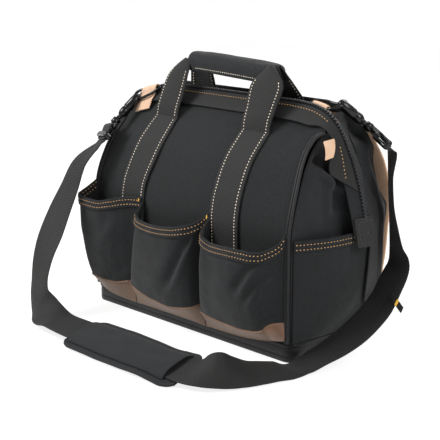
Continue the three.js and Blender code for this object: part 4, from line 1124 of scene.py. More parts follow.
def hardware(place, end):
    """The ring, hook, web loop and slide of one strap end."""
    name = place["name"]
    ring_side = np.cross(end["wire_way"], end["aim"])
    ring = cord_along(end["ring"], RING_WIRE, RING_SIDES, ring_side, closed=True)
    make(f"ring_{name}", *ring[:2], BLACK_LACQUER, ring[2], [f"strap_ring_{name}"])
    aim = end["aim"]
    width = end["width"]
    flat = end["flat"]
    seat = end["seat"]
    nose_x = unit(aim - end["wire_way"] * (aim @ end["wire_way"]))
    nose_y = np.cross(end["wire_way"], nose_x)
    angle = np.arange(NOSE_STEPS) / NOSE_STEPS * 2 * math.pi
    nose_path = seat + aim * HOOK_SEAT + HOOK_NOSE * (
        np.cos(angle)[:, None] * nose_x + np.sin(angle)[:, None] * nose_y
    )
    nose = cord_along(nose_path, HOOK_NOSE_WIRE, WIRE_SIDES, end["wire_way"], closed=True)
    barrel_path = seat + BARREL["along"][:, None] * aim
    barrel = cord_along(barrel_path, BARREL_RADIUS * BARREL["share"], BARREL_SIDES, width)
    eye_middle = seat + aim * (EYE_NEAR + EYE_TO) / 2
    eye_high = EYE_TO - EYE_NEAR - EYE_WIRE
    eye_path = frame_path(eye_middle, width, aim, EYE_WIDTH - EYE_WIRE, eye_high, EYE_CORNER)
    eye = cord_along(eye_path, EYE_WIRE / 2, WIRE_SIDES, flat, closed=True)
    hook = joined(nose, barrel, eye)
    make(f"hook_{name}", *hook[:2], BLACK_LACQUER, hook[2], [f"snap_hook_{name}"])
    slide_middle = end["bar"] + aim * SLIDE_AT + flat * SLIDE_OFF
    slide_sizes = (EYE_WIDTH - SLIDE_WIRE, SLIDE_HIGH - SLIDE_WIRE, SLIDE_CORNER)
    slide_path = frame_path(slide_middle, width, flat, *slide_sizes)
    slide = cord_along(slide_path, SLIDE_HALF, WIRE_SIDES, aim, closed=True, flat=SLIDE_FLAT)
    make(f"slide_{name}", *slide[:2], BLACK_LACQUER, slide[2], [f"strap_slide_{name}"])
    spots_on = end["bar"] + LOOP["along"][:, None] * aim + (LOOP["off"] * LOOP_OFF)[:, None] * flat
    line = spline(spots_on, np.linspace(0, 1, LOOP_STEPS))
    across = np.linspace(-0.5, 0.5, LOOP_ACROSS) * STRAP_WIDTH
    ribbon(f"loop_{name}", line[:, None] + across[:, None] * width, WEB, STRAP_WEB, [f"strap_loop_{name}"])


hardware(LEFT_END, LEFT)
hardware(RIGHT_END, RIGHT)
print("rings, hooks, loops and slides made")

# %% [markdown]
# A short narrow tail of web sticks out from under the strap at the right, with a yellow bar of yarn. It
# could be bent as a curve of its own. Only its tip shows, so a flat web that leaves at a slant does.

# %% The strap's tail
TAIL_Y = 54
TAIL_FROM = 14
TAIL_REACH = 46
TAIL_HALF = 3.6
TAIL_LEAN = 0.6
TAIL_WEB = 1.4
TAIL_GRID = (7, 60)
TAIL_SEARCH = np.linspace(0.7, 0.9, SEARCH_STEPS)
tail_ys = strap_frame(TAIL_SEARCH)[0][:, 1]
tail_at, tail_way, tail_side = strap_frame(TAIL_SEARCH[[np.argmin(np.abs(tail_ys - TAIL_Y))]])
tail_aim = unit(-tail_side - tail_way * TAIL_LEAN)
TAIL_OFF = -WEB / 2 - UNDER_WEB - TAIL_WEB / 2
TAIL_BARS = (0.5, 0.54, 0.58)
BAR_LIFT = 0.2


def tail_surface(u, v):
    """The tail's middle plane: across it along the strap, and out from under the strap's edge."""
    out = tail_at + tail_aim * mix(TAIL_FROM, TAIL_REACH, v)[..., None]
    return out + tail_way * ((u - 0.5) * 2 * TAIL_HALF)[..., None]


ribbon("tail_web", tail_surface(*grid(*TAIL_GRID)), TAIL_WEB, STRAP_WEB, ["strap_tail"], off=TAIL_OFF)
tail_lines = []
for tail_bar in TAIL_BARS:
    tail_lines.append(line_on(tail_surface, SEWN, tail_bar, TAIL_OFF + TAIL_WEB / 2 + BAR_LIFT))
    under, under_up = line_on(tail_surface, SEWN, tail_bar, TAIL_OFF - TAIL_WEB / 2 - BAR_LIFT)
    tail_lines.append((under, -under_up))
stitches("tail_bar", tail_lines, *BAR_STITCH, YELLOW_YARN, "tan")
print("tail length in mm:", TAIL_REACH - TAIL_FROM)

# %% [markdown]
# The base is a stiff coated tray. A box with a bevel would lack its rim and bulge. So a profile goes round a
# rectangle with round corners: from the floor, round the bottom edge, up the bulging side, over the rim and
# down inside.

# %% Base tray
BASE_HEIGHT = 27
TRAY_LENGTH = 406
BASE_DEPTH = 166
BASE_CORNER = 16
BASE_WALL = 2.5
TRAY_PROFILE = table(
    "inset up",
    (76, 0.6),
    (6, 0.3),
    (2.6, 0.0),
    (1.0, 0.7),
    (0.2, 2.4),
    (-0.1, 6),
    (-0.1, 7.6),
    (0.5, 8.3),
    (0.0, 9.2),
    (-0.2, 14),
    (0.0, 20),
    (0.5, 21.2),
    (-0.9, 22.2),
    (-1.4, 23.6),
    (-0.9, 25.2),
    (0.2, 26.4),
    (BASE_WALL / 2, BASE_HEIGHT),
    (2.0, 26.4),
    (BASE_WALL, 24.6),
    (BASE_WALL, 6),
    (4, 3.2),
    (76, 3),
)
LONG_STEPS = 70
SHORT_STEPS = 36
BEND_STEPS = 12
CORNER_LEAST = 0.4


def tray_loop(inset, up):
    """One line round the tray: a rectangle with round corners, moved in by an inset."""
    corner = np.maximum(BASE_CORNER - inset, CORNER_LEAST)
    half_x = TRAY_LENGTH / 2 - inset - corner
    half_y = BASE_DEPTH / 2 - inset - corner
    turns = np.concatenate([np.linspace(k, k + 1, BEND_STEPS) for k in range(4)]) * math.pi / 2
    sign_x = np.repeat([1, -1, -1, 1], BEND_STEPS)
    sign_y = np.repeat([1, 1, -1, -1], BEND_STEPS)
    x = sign_x * half_x[:, None] + corner[:, None] * np.cos(turns)
    y = sign_y * half_y[:, None] + corner[:, None] * np.sin(turns)
    return stack(x, y, up[:, None])


tray_corners = tray_loop(TRAY_PROFILE["inset"], TRAY_PROFILE["up"])
tray_wrap = np.concatenate([tray_corners, tray_corners[:, :1]], axis=1)
side_steps = [steps for side in (LONG_STEPS, SHORT_STEPS) * 2 for steps in [1] * (BEND_STEPS - 1) + [side]]
tray_at = np.concatenate([np.linspace(k, k + 1, steps, endpoint=False) for k, steps in enumerate(side_steps)])
tray_before = np.floor(tray_at).astype(int)
tray_share = (tray_at - tray_before)[:, None]
tray_points = mix(tray_wrap[:, tray_before], tray_wrap[:, tray_before + 1], tray_share)
tray_index = np.arange(tray_points[..., 0].size).reshape(tray_points.shape[:2])
tray_ring = np.concatenate([tray_index, tray_index[:, :1]], axis=1)
tray_faces = [quads(tray_ring), tray_index[:1, ::-1], tray_index[-1:]]
make("tray", tray_points, tray_faces, COATED_CLOTH, lengths_of(tray_points), ["base_tray"])
print("tray points round:", tray_points.shape[1])

# %% [markdown]
# The front and back panels stand upright to the pockets' mouths and then lean in to the zip, fuller at mid
# length than at the corners. Cloth could be simulated, but a table of depths with a crown over mid length is
# easier to hold to the photograph. Empty cloth sags between its seams, so soft dents press inwards only.

# %% Front and back panels
HALF = 200
CLOTH = 2
GAP = 0.3
PIPING_RADIUS = 3
PANEL = table(
    "up depth crown",
    (0, 82, 0),
    (27, 83, 1),
    (90, 84.5, 4),
    (166, 84, 6),
    (191, 80, 8),
    (221, 69, 11),
    (251, 53, 14),
    (274, 34, 15),
    (292, 19, 13),
    (303, 12, 7.5),
    (312, 8, 5),
)
even_depth = column(PANEL, "up", "depth")
even_crown = column(PANEL, "up", "crown")
PANEL_HALF = HALF - 2 * PIPING_RADIUS - GAP
PANEL_LOW = BASE_HEIGHT + GAP
PANEL_BELOW_RIDGE = 21
PANEL_RAISED = 14
RAISED_FROM = 150
RAISED_OVER = 40
SAG_FROM = 190
SAG_OVER = 90
PANEL_DENT = 0.9
PANEL_DENTS = (8, 6)
PANEL_FINE_DENTS = (21, 16)
BROAD_SHARE = 0.7
FINE_SHARE = 0.3
PANEL_GRID = (84, 76)
FACES = ((FRONT, "front"), (BACK, "back"))
ENDS = ((-1, "left"), (1, "right"))
SEAM_IN = table(
    "up inset",
    (27, 0),
    (190, 0),
    (230, 4),
    (256, 9.5),
    (274, 13.4),
    (286, 12),
    (291, 7),
    (294.5, 1),
)
seam_inset = column(SEAM_IN, "up", "inset")
SEAM_PULL_FROM = 110


def panel_depth(x, up):
    """Half depth of the body: a crown over mid length, lowered where the ridge sags."""
    height = up + ridge_sag(x) * ease((up - SAG_FROM) / SAG_OVER)
    return even_depth(height) + even_crown(height) * (1 - (x / HALF) ** 2)


def panel_top(x):
    """Height of a panel's top edge: nearer to the ridge at both ends, where the band is narrow."""
    raised = PANEL_RAISED * ease((np.abs(x) - RAISED_FROM) / RAISED_OVER)
    return ridge_up(x) - PANEL_BELOW_RIDGE + raised


def panel_surface(side):
    """A panel's outer face with soft dents, its right edge drawn in along the seam."""
    def surface(u, v):
        x = -side * mix(-PANEL_HALF, PANEL_HALF, u)
        up = mix(PANEL_LOW, panel_top(x), v)
        x = x - seam_inset(up) * ease((x - SEAM_PULL_FROM) / (PANEL_HALF - SEAM_PULL_FROM))
        soft = BROAD_SHARE * rumple(u, v, PANEL_DENTS, seed=11 + side)
        soft = soft + FINE_SHARE * rumple(u, v, PANEL_FINE_DENTS, seed=21 + side)
        return stack(x, side * (panel_depth(x, up) + PANEL_DENT * (soft - 1)), up)
    return surface


sheets = []


def cloth_sheet(piece, points, held, rests_on):
    """Keeps a sheet of cloth in a list: its flat size is the mean lengths of its rows and columns."""
    lengths = lengths_of(points) * MM
    flat = (float(lengths[:, -1, 0].mean()), float(lengths[-1, :, 1].mean()))
    sheets.append((piece, flat, held, rests_on))


for panel_side, panel_name in FACES:
    panel_points = panel_surface(panel_side)(*grid(*PANEL_GRID))
    panel = wall(f"panel_{panel_name}", panel_points, -CLOTH, 0, BLACK_CLOTH, [f"{panel_name}_panel"])
    cloth_sheet(panel, panel_points, "stretched", ["tray", f"band_{panel_name}"])
print("panels made")

# %% [markdown]
# Piping covers each corner seam: two cords side by side with a dark line between them. One thick cord with
# a groove would need a fine mesh, and two round ones give the same line.

# %% Piping
PIPING_TOP = 294
PIPING_STEPS = 160
PIPING_BEAD = 2.3
FAR_BEAD = 0.85
NEAR_BEAD_OUT = 0.9
FAR_BEAD_IN = 3.3
BEAD_SIDES = 12
ALONG_BAG = (1.0, 0.0, 0.0)


def piping_line(side, end):
    """The line of one corner seam, upwards."""
    up = np.linspace(PANEL_LOW, PIPING_TOP - float(ridge_sag(np.array(end * HALF))), PIPING_STEPS)
    x = end * (HALF - PIPING_RADIUS) - seam_inset(up) * (end > 0)
    return stack(x, side * panel_depth(x, up), up)


for piping_side, piping_face in FACES:
    for piping_end, piping_hand in ENDS:
        seam = piping_line(piping_side, piping_end)
        near_seam = seam + [piping_end * NEAR_BEAD_OUT, 0, 0]
        far_seam = seam - [piping_end * FAR_BEAD_IN, 0, 0]
        near = cord_along(near_seam, PIPING_BEAD, BEAD_SIDES, ALONG_BAG)
        far = cord_along(far_seam, PIPING_BEAD * FAR_BEAD, BEAD_SIDES, ALONG_BAG)
        beads = joined(near, far)
        nodes = [f"piping_{piping_face}_{piping_hand}"]
        # The beads' lighter cloth carries a painted highlight.
        make(f"bead_{piping_face}_{piping_hand}", *beads[:2], PIPING_CLOTH_WITH_PAINTED_HIGHLIGHT, beads[2], nodes)
print("piping made")

# %% [markdown]
# The ends swell past the piping. Above the end pocket the cloth folds into a soft lip under the band and
# tucks in beside the zip's tongue, and a few long folds run down from the lip. Sculpting would give such
# folds too. Here each is a row of numbers, its start, end, depth and width, which is easy to change.

# %% End panels
END = table(
    "up swell pocket",
    (27, 2, 0),
    (100, 6, 9),
    (158, 8, 14),
    (200, 10, 14),
    (240, 6, 14),
    (290, 3, 14),
)
end_swell = column(END, "up", "swell")
end_pocket_swell = column(END, "up", "pocket")
TUCK_DEEP = 14
TUCK_HIGH = 15
TUCK_FADE = 26
LIP_UP = 256
LIP_DROP = 30
LIP_REACH = 45
LIP_SOFT = 11
LIP_RIDGE = 7
LIP_RIDGE_WIDE = 8
LIP_RIDGE_BELOW = 5
LIP_RIDGE_FADE = 20
WINDOW_INNER = 10
WINDOW_OUTER = 14
END_TOP = 293
END_WINDOW = 4
END_DENT = 0.8
END_DENTS = (6, 7)
END_GRID = (84, 104)
END_CREASES = (
    (0.05, 0.88, 0.30, 0.76, 2.8, 0.04),
    (0.08, 0.72, 0.36, 0.64, 2.6, 0.045),
    (0.26, 0.60, 0.46, 0.555, 2.4, 0.035),
    (0.43, 0.80, 0.46, 0.60, 8.0, 0.06),
    (0.66, 0.80, 0.90, 0.70, 1.6, 0.04),
    (0.60, 0.66, 0.86, 0.60, 1.2, 0.04),
)


def end_depth(up, end):
    """Half width of an end panel: the body's half depth less the piping, measured along the slope."""
    at = np.full(np.shape(up), end * HALF, float)
    slope = (panel_depth(at, up + 1) - panel_depth(at, up - 1)) / 2
    return panel_depth(at, up) - (PIPING_RADIUS + 2 * GAP) * np.hypot(1, slope)


def end_x(y, up, end):
    """How far an end stands out: a swell and the lip's ridge, less the tuck and the right seam's inset."""
    depth = end_depth(up, end)
    share = np.minimum(1, np.abs(y) / depth)
    lip = LIP_UP - LIP_DROP * clamp01(1 - np.abs(y) / LIP_REACH)
    rise = ease((up - lip) / LIP_SOFT) * (1 - ease((up - lip - TUCK_HIGH) / TUCK_FADE))
    window = ease(np.abs(y) / WINDOW_INNER) * ease((depth - np.abs(y)) / WINDOW_OUTER)
    drawn_in = seam_inset(up) * share**4 * (end > 0)
    ridge = LIP_RIDGE * np.exp(-(((up - lip + LIP_RIDGE_BELOW) / LIP_RIDGE_WIDE) ** 2))
    ridge = ridge * ease((LIP_REACH - np.abs(y)) / LIP_RIDGE_FADE)
    return HALF + end_swell(up) * (1 - share**2) + ridge - TUCK_DEEP * rise * window - drawn_in


def end_surface(end):
    """An end panel's outer face with its folds."""
    def surface(u, v):
        up = mix(PANEL_LOW, END_TOP - ridge_sag(np.full(v.shape, end * HALF)), v)
        y = end * mix(-1, 1, u) * end_depth(up, end)
        window = clamp01(END_WINDOW * u) * clamp01(END_WINDOW * (1 - u))
        soft = rumple(u, v, END_DENTS, seed=31 + end) * END_DENT - END_DENT
        fold = pressed(u, v, END_CREASES)
        return stack(end * (end_x(y, up, end) + (soft - fold) * window), y, up)
    return surface


for end, hand in ENDS:
    end_points = end_surface(end)(*grid(*END_GRID))
    end_piece = wall(f"end_{hand}", end_points, -CLOTH, 0, SMOOTH_CLOTH, [f"end_panel_{hand}"])
    cloth_sheet(end_piece, end_points, "stretched", ["tray", "panel_front", "panel_back"])
print("ends made")

# %% [markdown]
# Each end has a flat pocket with a doubled hem, open on top. It could be a box of its own. Here it is a
# second surface over the end's, lifted by the cloth and swelling over its middle, so it follows the end.

# %% End pockets
HEM = 13
POCKET_CLOTH = 1.8
END_POCKET_TOP = 163
END_POCKET_HALF = 79
END_POCKET_LIFT = 2.4
END_HEM_HIGH = 2.2
END_POCKET_WINDOW = 6
END_POCKET_DENT = 0.9
END_POCKET_DENTS = (5, 4)
END_POCKET_FINE_DENTS = (13, 9)
END_POCKET_SUNK = 0.6
END_POUCH_GRID = (64, 56)
END_HEM_GRID = (80, 12)


def end_pocket_x(y, up, end):
    """How far an end pocket stands out: the end, the cloth, and a swell over its middle."""
    swell = end_pocket_swell(up) * (1 - (y / END_POCKET_HALF) ** 2)
    return end_x(y, up, end) + END_POCKET_LIFT + swell


def end_pocket_surface(end, low, high):
    """A band of the end pocket's face between two heights."""
    def surface(u, v):
        y = end * mix(-END_POCKET_HALF, END_POCKET_HALF, u)
        up = mix(low, high, v)
        share = (up - PANEL_LOW) / (END_POCKET_TOP - PANEL_LOW)
        window = clamp01(END_POCKET_WINDOW * u) * clamp01(END_POCKET_WINDOW * (1 - u))
        soft = BROAD_SHARE * rumple(u, share, END_POCKET_DENTS, seed=41 + end)
        soft = soft + FINE_SHARE * rumple(u, share, END_POCKET_FINE_DENTS, seed=51) - END_POCKET_SUNK
        return stack(end * (end_pocket_x(y, up, end) + END_POCKET_DENT * soft * window), y, up)
    return surface


END_HEM_ROWS = (0.18, 0.66)
END_BAR_AT = 0.76
END_BAR_FROM = 0.15
END_BAR_TO = 0.7
end_hem_lines = []
end_bars = []
for end, hand in ENDS:
    body = end_pocket_surface(end, PANEL_LOW + GAP, END_POCKET_TOP)
    hem = end_pocket_surface(end, END_POCKET_TOP - HEM, END_POCKET_TOP)
    pouch_points = body(*grid(*END_POUCH_GRID))
    pouch = wall(f"end_pouch_{hand}", pouch_points, -POCKET_CLOTH, 0, BLACK_CLOTH, [f"end_pocket_{hand}"])
    cloth_sheet(pouch, pouch_points, "stretched", [f"end_{hand}"])
    hem_nodes = [f"end_pocket_hem_{hand}"]
    wall(f"end_hem_{hand}", hem(*grid(*END_HEM_GRID)), GAP, END_HEM_HIGH, BLACK_CLOTH, hem_nodes)
    end_hem_lines += [line_on(hem, SEWN, share, END_HEM_HIGH) for share in END_HEM_ROWS]
    bar_at = END_BAR_AT if end > 0 else 1 - END_BAR_AT
    end_bars.append(line_on(hem, bar_at, mix(END_BAR_FROM, END_BAR_TO, SEWN), END_HEM_HIGH))
stitches("end_hem_stitches", end_hem_lines, *HEM_STITCH, TAN_YARN, "tan")
stitches("end_hem_bars", end_bars, *BAR_STITCH, YELLOW_YARN, "tan")
print("end pockets made")

# %% [markdown]
# The mouth has a band of ribbed web at each side of the zip, sewn with one row of tan yarn. A flat strip bent
# by a curve modifier could twist at the corners. Here the band is a run along the zip's line and an offset
# down its slope, so it keeps to the zip everywhere.

# %% Mouth bands
STATION = 18.45
BAND_RUN = 16 * STATION
BAND_FROM = 4.5
BAND = table(
    "run front back",
    (0, 25, 25),
    (165, 25, 25),
    (195, 15, 15),
    (215, 12.5, 12.5),
    (240, 20, 15),
    (262, 29, 20),
    (296, 34, 25),
)
band_wide = {FRONT: column(BAND, "run", "front"), BACK: column(BAND, "run", "back")}
BAND_SLANT = 24
BAND_ROW = table("run off", (0, 5), (215, 5), (250, 8.5), (290, 13))
band_row = column(BAND_ROW, "run", "off")
FRONT_ROWS = ((0.015, 0.845), (0.905, 0.99))
BACK_ROWS = ((0.15, 0.985),)
BAND_THICK = 1.6
BAND_GRID = (7, 1000)
YARN_LIFT = 0.1


def band_surface(side):
    """A band along the mouth, from the chain outwards, its ends cut at a slant."""
    def surface(u, v):
        run = -side * mix(-1, 1, v) * (BAND_RUN - BAND_SLANT * u)
        return mouth_point(run, BAND_FROM + band_wide[side](np.abs(run)) * u, side)
    return surface


band_lines = []
for band_side, band_name, band_rows in ((FRONT, "front", FRONT_ROWS), (BACK, "back", BACK_ROWS)):
    band = band_surface(band_side)
    nodes = [f"mouth_band_{band_name}"]
    band_points = band(*grid(*BAND_GRID))
    ribbon(f"band_{band_name}", band_points, BAND_THICK, BLACK_WEB, nodes, BAND_THICK / 2, FINE_RIBS)
    for first, last in band_rows:
        row_at = mix(first, last, SEWN)
        row_run = np.abs(mix(-BAND_RUN, BAND_RUN, row_at))
        row_off = band_row(row_run) / band_wide[band_side](row_run)
        band_lines.append(line_on(band, row_off, row_at, BAND_THICK + YARN_LIFT))
stitches("band_stitches", band_lines, *HEM_STITCH, TAN_YARN, "tan")
print("bands made, run in mm:", 2 * BAND_RUN)

# %% [markdown]
# The zip's tape is narrow on top and widens into the tongues, where its edges are ribbed. It could be two
# tapes as on the real zip. The teeth hide the join, so one wall across both sides does.

# %% Zip tape
TAPE_RUN = 20 * STATION
TAPE = table("run front back", (0, 7, 7), (226, 7, 7), (268, 19, 15), (300, 20, 16), (370, 18, 15))
tape_front = column(TAPE, "run", "front")
tape_back = column(TAPE, "run", "back")
TAPE_THICK = 1.3
TAPE_BELOW = 0.7
TAPE_RIB_HIGH = 0.35
TAPE_RIB_PITCH = 2.8
TAPE_RIB_EDGE = 0.7
TAPE_RIB_EDGE_OVER = 0.2
TAPE_RIB_RUN = 240
TAPE_RIB_RUN_OVER = 20
TAPE_GRID = (11, 700)


def tape_surface(u, v):
    """The zip's tape: across both sides of the zip and along its whole run."""
    run = mix(TAPE_RUN, -TAPE_RUN, v)
    half = np.where(u < 0.5, tape_front(np.abs(run)), tape_back(np.abs(run)))
    return mouth_point(run, np.abs(2 * u - 1) * half, np.where(u < 0.5, FRONT, BACK))


tape_u, tape_v = grid(*TAPE_GRID)
tape_edge = np.abs(2 * tape_u - 1)
tape_run = (tape_v - 0.5) * 2 * TAPE_RUN
tape_rib = TAPE_RIB_HIGH * ease((tape_edge - TAPE_RIB_EDGE) / TAPE_RIB_EDGE_OVER)
tape_rib = tape_rib * np.abs(np.sin(math.pi * tape_run / TAPE_RIB_PITCH))
tape_rib = tape_rib * ease((np.abs(tape_run) - TAPE_RIB_RUN) / TAPE_RIB_RUN_OVER)
tape_points = tape_surface(tape_u, tape_v)
wall("tape", tape_points, -TAPE_BELOW - TAPE_THICK, -TAPE_BELOW + tape_rib, SMOOTH_CLOTH, ["zip_tape"])
print("tape made, run in mm:", 2 * TAPE_RUN)

# %% [markdown]
# The zip's teeth are two rows of small blocks, each row set between the other's. An array modifier could
# repeat one tooth along a curve. Here the place and directions of all the teeth are read from the zip's line
# at once, and they become one mesh.

# %% Zip teeth
CHAIN_RUN = 18.1 * STATION
CHAIN_HALF = 2.9
CHAIN_HIGH = 1.8
CHAIN_LOW = -0.5
CHAIN_MARGIN = 1
CHAIN_BESIDE = 2
TOOTH_PITCH = 2.3
TOOTH_SHARE = 0.8
tooth_count = int(2 * CHAIN_RUN / TOOTH_PITCH)
tooth_run = np.linspace(-CHAIN_RUN + CHAIN_MARGIN, CHAIN_RUN - CHAIN_MARGIN, tooth_count)
tooth_at = mouth_point(tooth_run, 0, BACK)
tooth_way = unit(np.gradient(tooth_at, axis=0))
tooth_side = unit(mouth_point(tooth_run, CHAIN_BESIDE, BACK) - mouth_point(tooth_run, CHAIN_BESIDE, FRONT))
tooth_up = unit(np.cross(tooth_way, tooth_side))
tooth_hand = np.where(np.arange(tooth_count) % 2 == 0, 1.0, -1.0)
TOOTH = np.array([
    (along, across, up)
    for up in (0.0, 1.0)
    for across, along in ((-0.25, -0.5), (-0.25, 0.5), (1.0, 0.42), (1.0, -0.42))
])
tooth_points = (
    tooth_at[:, None]
    + tooth_way[:, None] * TOOTH[:, :1] * TOOTH_PITCH * TOOTH_SHARE
    + tooth_side[:, None] * tooth_hand[:, None, None] * TOOTH[:, 1:2] * CHAIN_HALF
    + tooth_up[:, None] * mix(CHAIN_LOW, CHAIN_HIGH, TOOTH[:, 2:])
)
TOOTH_FACES = np.array([(3, 2, 1, 0), (4, 5, 6, 7), (0, 1, 5, 4), (1, 2, 6, 5), (2, 3, 7, 6), (3, 0, 4, 7)])
tooth_faces = np.arange(tooth_count)[:, None, None] * len(TOOTH) + TOOTH_FACES
flip = tooth_hand > 0
tooth_faces[flip] = tooth_faces[flip][:, :, ::-1]
zip_map = np.zeros((tooth_count * len(TOOTH), 2))
make("zip_teeth", tooth_points, [tooth_faces.reshape(-1, 4)], ZIP_PLASTIC, zip_map, ["zip_chain"])
print("zip teeth:", tooth_count)

# %% [markdown]
# Each tongue ends under a square of web, sewn round its edge and across both ways. A flat square could be
# turned into place. The square lies on the zip's line like the tape below it, so it bends as the tape does.

# %% Tongue tabs
END_TAB_HALF = 17
END_TAB_RUN = 2 * STATION
END_TAB_GRID = (13, 80)
TAB_NEAR = 0.12
TAB_FAR = 0.88
TAB_ROWS = (
    (TAB_NEAR, TAB_NEAR, TAB_FAR, TAB_NEAR),
    (TAB_FAR, TAB_NEAR, TAB_FAR, TAB_FAR),
    (TAB_FAR, TAB_FAR, TAB_NEAR, TAB_FAR),
    (TAB_NEAR, TAB_FAR, TAB_NEAR, TAB_NEAR),
    (TAB_NEAR, TAB_NEAR, TAB_FAR, TAB_FAR),
    (TAB_NEAR, TAB_FAR, TAB_FAR, TAB_NEAR),
)
tab_lines = []
for end, hand in ENDS:
    def tab_surface(u, v, end=end):
        """The square of web over a tongue's end."""
        off = (2 * u - 1) * END_TAB_HALF * end
        run = end * (TAPE_RUN - END_TAB_RUN * v)
        return mouth_point(run, np.abs(off), np.where(off < 0, FRONT, BACK))
    nodes = [f"zip_end_tab_{hand}"]
    tab_points = tab_surface(*grid(*END_TAB_GRID))
    ribbon(f"tongue_tab_{hand}", tab_points, WEB, BLACK_WEB, nodes, WEB / 2, FINE_RIBS)
    for from_u, from_v, to_u, to_v in TAB_ROWS:
        tab_lines.append(line_on(tab_surface, mix(from_u, to_u, SEWN), mix(from_v, to_v, SEWN), WEB))
stitches("tab_stitches", tab_lines, *HEM_STITCH, BLACK_YARN, "zip")
print("rows of stitches on the tabs:", len(tab_lines))

# %% [markdown]
# The three front pockets hold nothing in the photograph, so their cloth swells forward, dips at the mouth
# and creases towards the foot. Simulated cloth folds well, but seldom where a photograph shows it. So each
# pocket is a table of its mouth and one of its bottom row, fitted to the photograph, with creases as lines.

# %% Front pocket tables
LEFT_POCKET = {
    "name": "left", "fold": 0.86, "heel_from": 17, "heel_to": 0,
    "mouth": table(
        "part x out up",
        (0, -193, 1.6, 188),
        (0.08, -199, 14, 177),
        (0.16, -203, 27, 168),
        (0.26, -192, 32, 164),
        (0.42, -160, 30, 163),
        (0.6, -134, 24, 168),
        (0.78, -112, 15, 173.5),
        (0.9, -98, 9, 175.5),
        (1, -82, 4.6, 176),
    ),
    "bottom": table(
        "part x out up",
        (0, -192, 1.6, 34),
        (0.08, -194, 8, 41),
        (0.16, -193, 15, 46),
        (0.26, -184, 20, 46.5),
        (0.42, -158, 20, 44),
        (0.6, -138, 17, 44.5),
        (0.78, -121, 12, 47.5),
        (0.9, -111, 7.5, 50),
        (1, -106, 4.6, 52),
    ),
    "creases": ((0.3, 0.5, 0.66, 0.86, 1.8, 0.09), (0.5, 0.06, 0.86, 0.16, 2.2, 0.05)),
}
MIDDLE_POCKET = {
    "name": "middle", "fold": 0.85, "heel_from": 0, "heel_to": 0,
    "mouth": table(
        "part x out up",
        (0, -79, 4.8, 171),
        (0.07, -83, 12, 157),
        (0.17, -73, 19.5, 150),
        (0.3, -48, 25, 148.5),
        (0.46, -18, 29.5, 150.5),
        (0.62, 10, 30.5, 154),
        (0.76, 30, 27, 158.5),
        (0.86, 42, 19, 163),
        (0.94, 48, 9, 168),
        (1, 57, 1.6, 178),
    ),
    "bottom": table(
        "part x out up",
        (0, -103, 4.8, 47),
        (0.07, -104, 11, 48),
        (0.17, -96, 17, 47),
        (0.3, -72, 22, 44),
        (0.46, -38, 27, 40.5),
        (0.62, -6, 29.5, 39),
        (0.76, 22, 27, 42),
        (0.86, 37, 19.5, 45.5),
        (0.94, 41, 9, 49),
        (1, 43, 1.6, 52),
    ),
    "creases": ((0.58, 0.2, 0.86, 0.96, 5.5, 0.055), (0.34, 0.3, 0.5, 0.7, 1.2, 0.08)),
}
RIGHT_POCKET = {
    "name": "right", "fold": 0.885, "heel_from": 0, "heel_to": 15,
    "mouth": table(
        "part x out up",
        (0, 60, 2.4, 174),
        (0.08, 59, 13, 161),
        (0.2, 66, 24, 152),
        (0.34, 88, 30, 146.5),
        (0.5, 116, 36.5, 148.5),
        (0.64, 140, 39, 150),
        (0.78, 164, 38, 150),
        (0.86, 176, 32, 150),
        (0.92, 183, 19, 153.5),
        (0.965, 189, 9, 160),
        (1, 193, 1.6, 172),
    ),
    "bottom": table(
        "part x out up",
        (0, 46, 2.4, 38),
        (0.08, 46, 12, 40),
        (0.2, 58, 19, 41),
        (0.34, 82, 24, 41),
        (0.5, 112, 28, 40.5),
        (0.64, 137, 29.5, 40.5),
        (0.78, 160, 28, 42),
        (0.86, 173, 24, 45),
        (0.92, 180, 18, 53),
        (0.965, 187, 9, 55.5),
        (1, 193, 1.6, 56),
    ),
    "creases": (
        (0.62, 0.45, 0.84, 0.9, 5.0, 0.05),
        (0.74, 0.36, 0.9, 0.74, 3.6, 0.04),
        (0.9, 0.13, 1.0, 0.12, 3.0, 0.035),
        (0.3, 0.3, 0.42, 0.7, 1.0, 0.08),
    ),
}
POCKETS = (LEFT_POCKET, MIDDLE_POCKET, RIGHT_POCKET)
print("mouth heights in mm:", [round(float(pocket["mouth"]["up"].mean())) for pocket in POCKETS])

# %% [markdown]
# A pocket's face joins its two rows. Gathers at the bottom are ripples that die out upwards. A foot of taupe
# leather closes the pocket over the base. Both could be modelled as single pieces, but as functions of a
# share across and a share up they can also place a hem or a row of stitches.

# %% Front pocket shapes
SWELL = table("part share", (0, 0), (0.12, 0.24), (0.3, 0.48), (0.6, 0.78), (1, 1))
swell_share = column(SWELL, "part", "share")
BELLY = 3.0
SLACK_AT = 4
SLACK_OVER = 16
GATHERS = 9
GATHER_HIGH = 0.15
GATHER_UP = 0.25
GATHER_DENTS = (4, 2)
POCKET_BROAD = 0.8
POCKET_SUNK = 0.5
POCKET_DENTS = (6, 5)
POCKET_FINE_DENTS = (15, 12)
FOOT_LOW = 16.5
FOOT_DEPTH = 86.4
FOOT_SLANT = 1.25
FOOT_BOW = 0.9


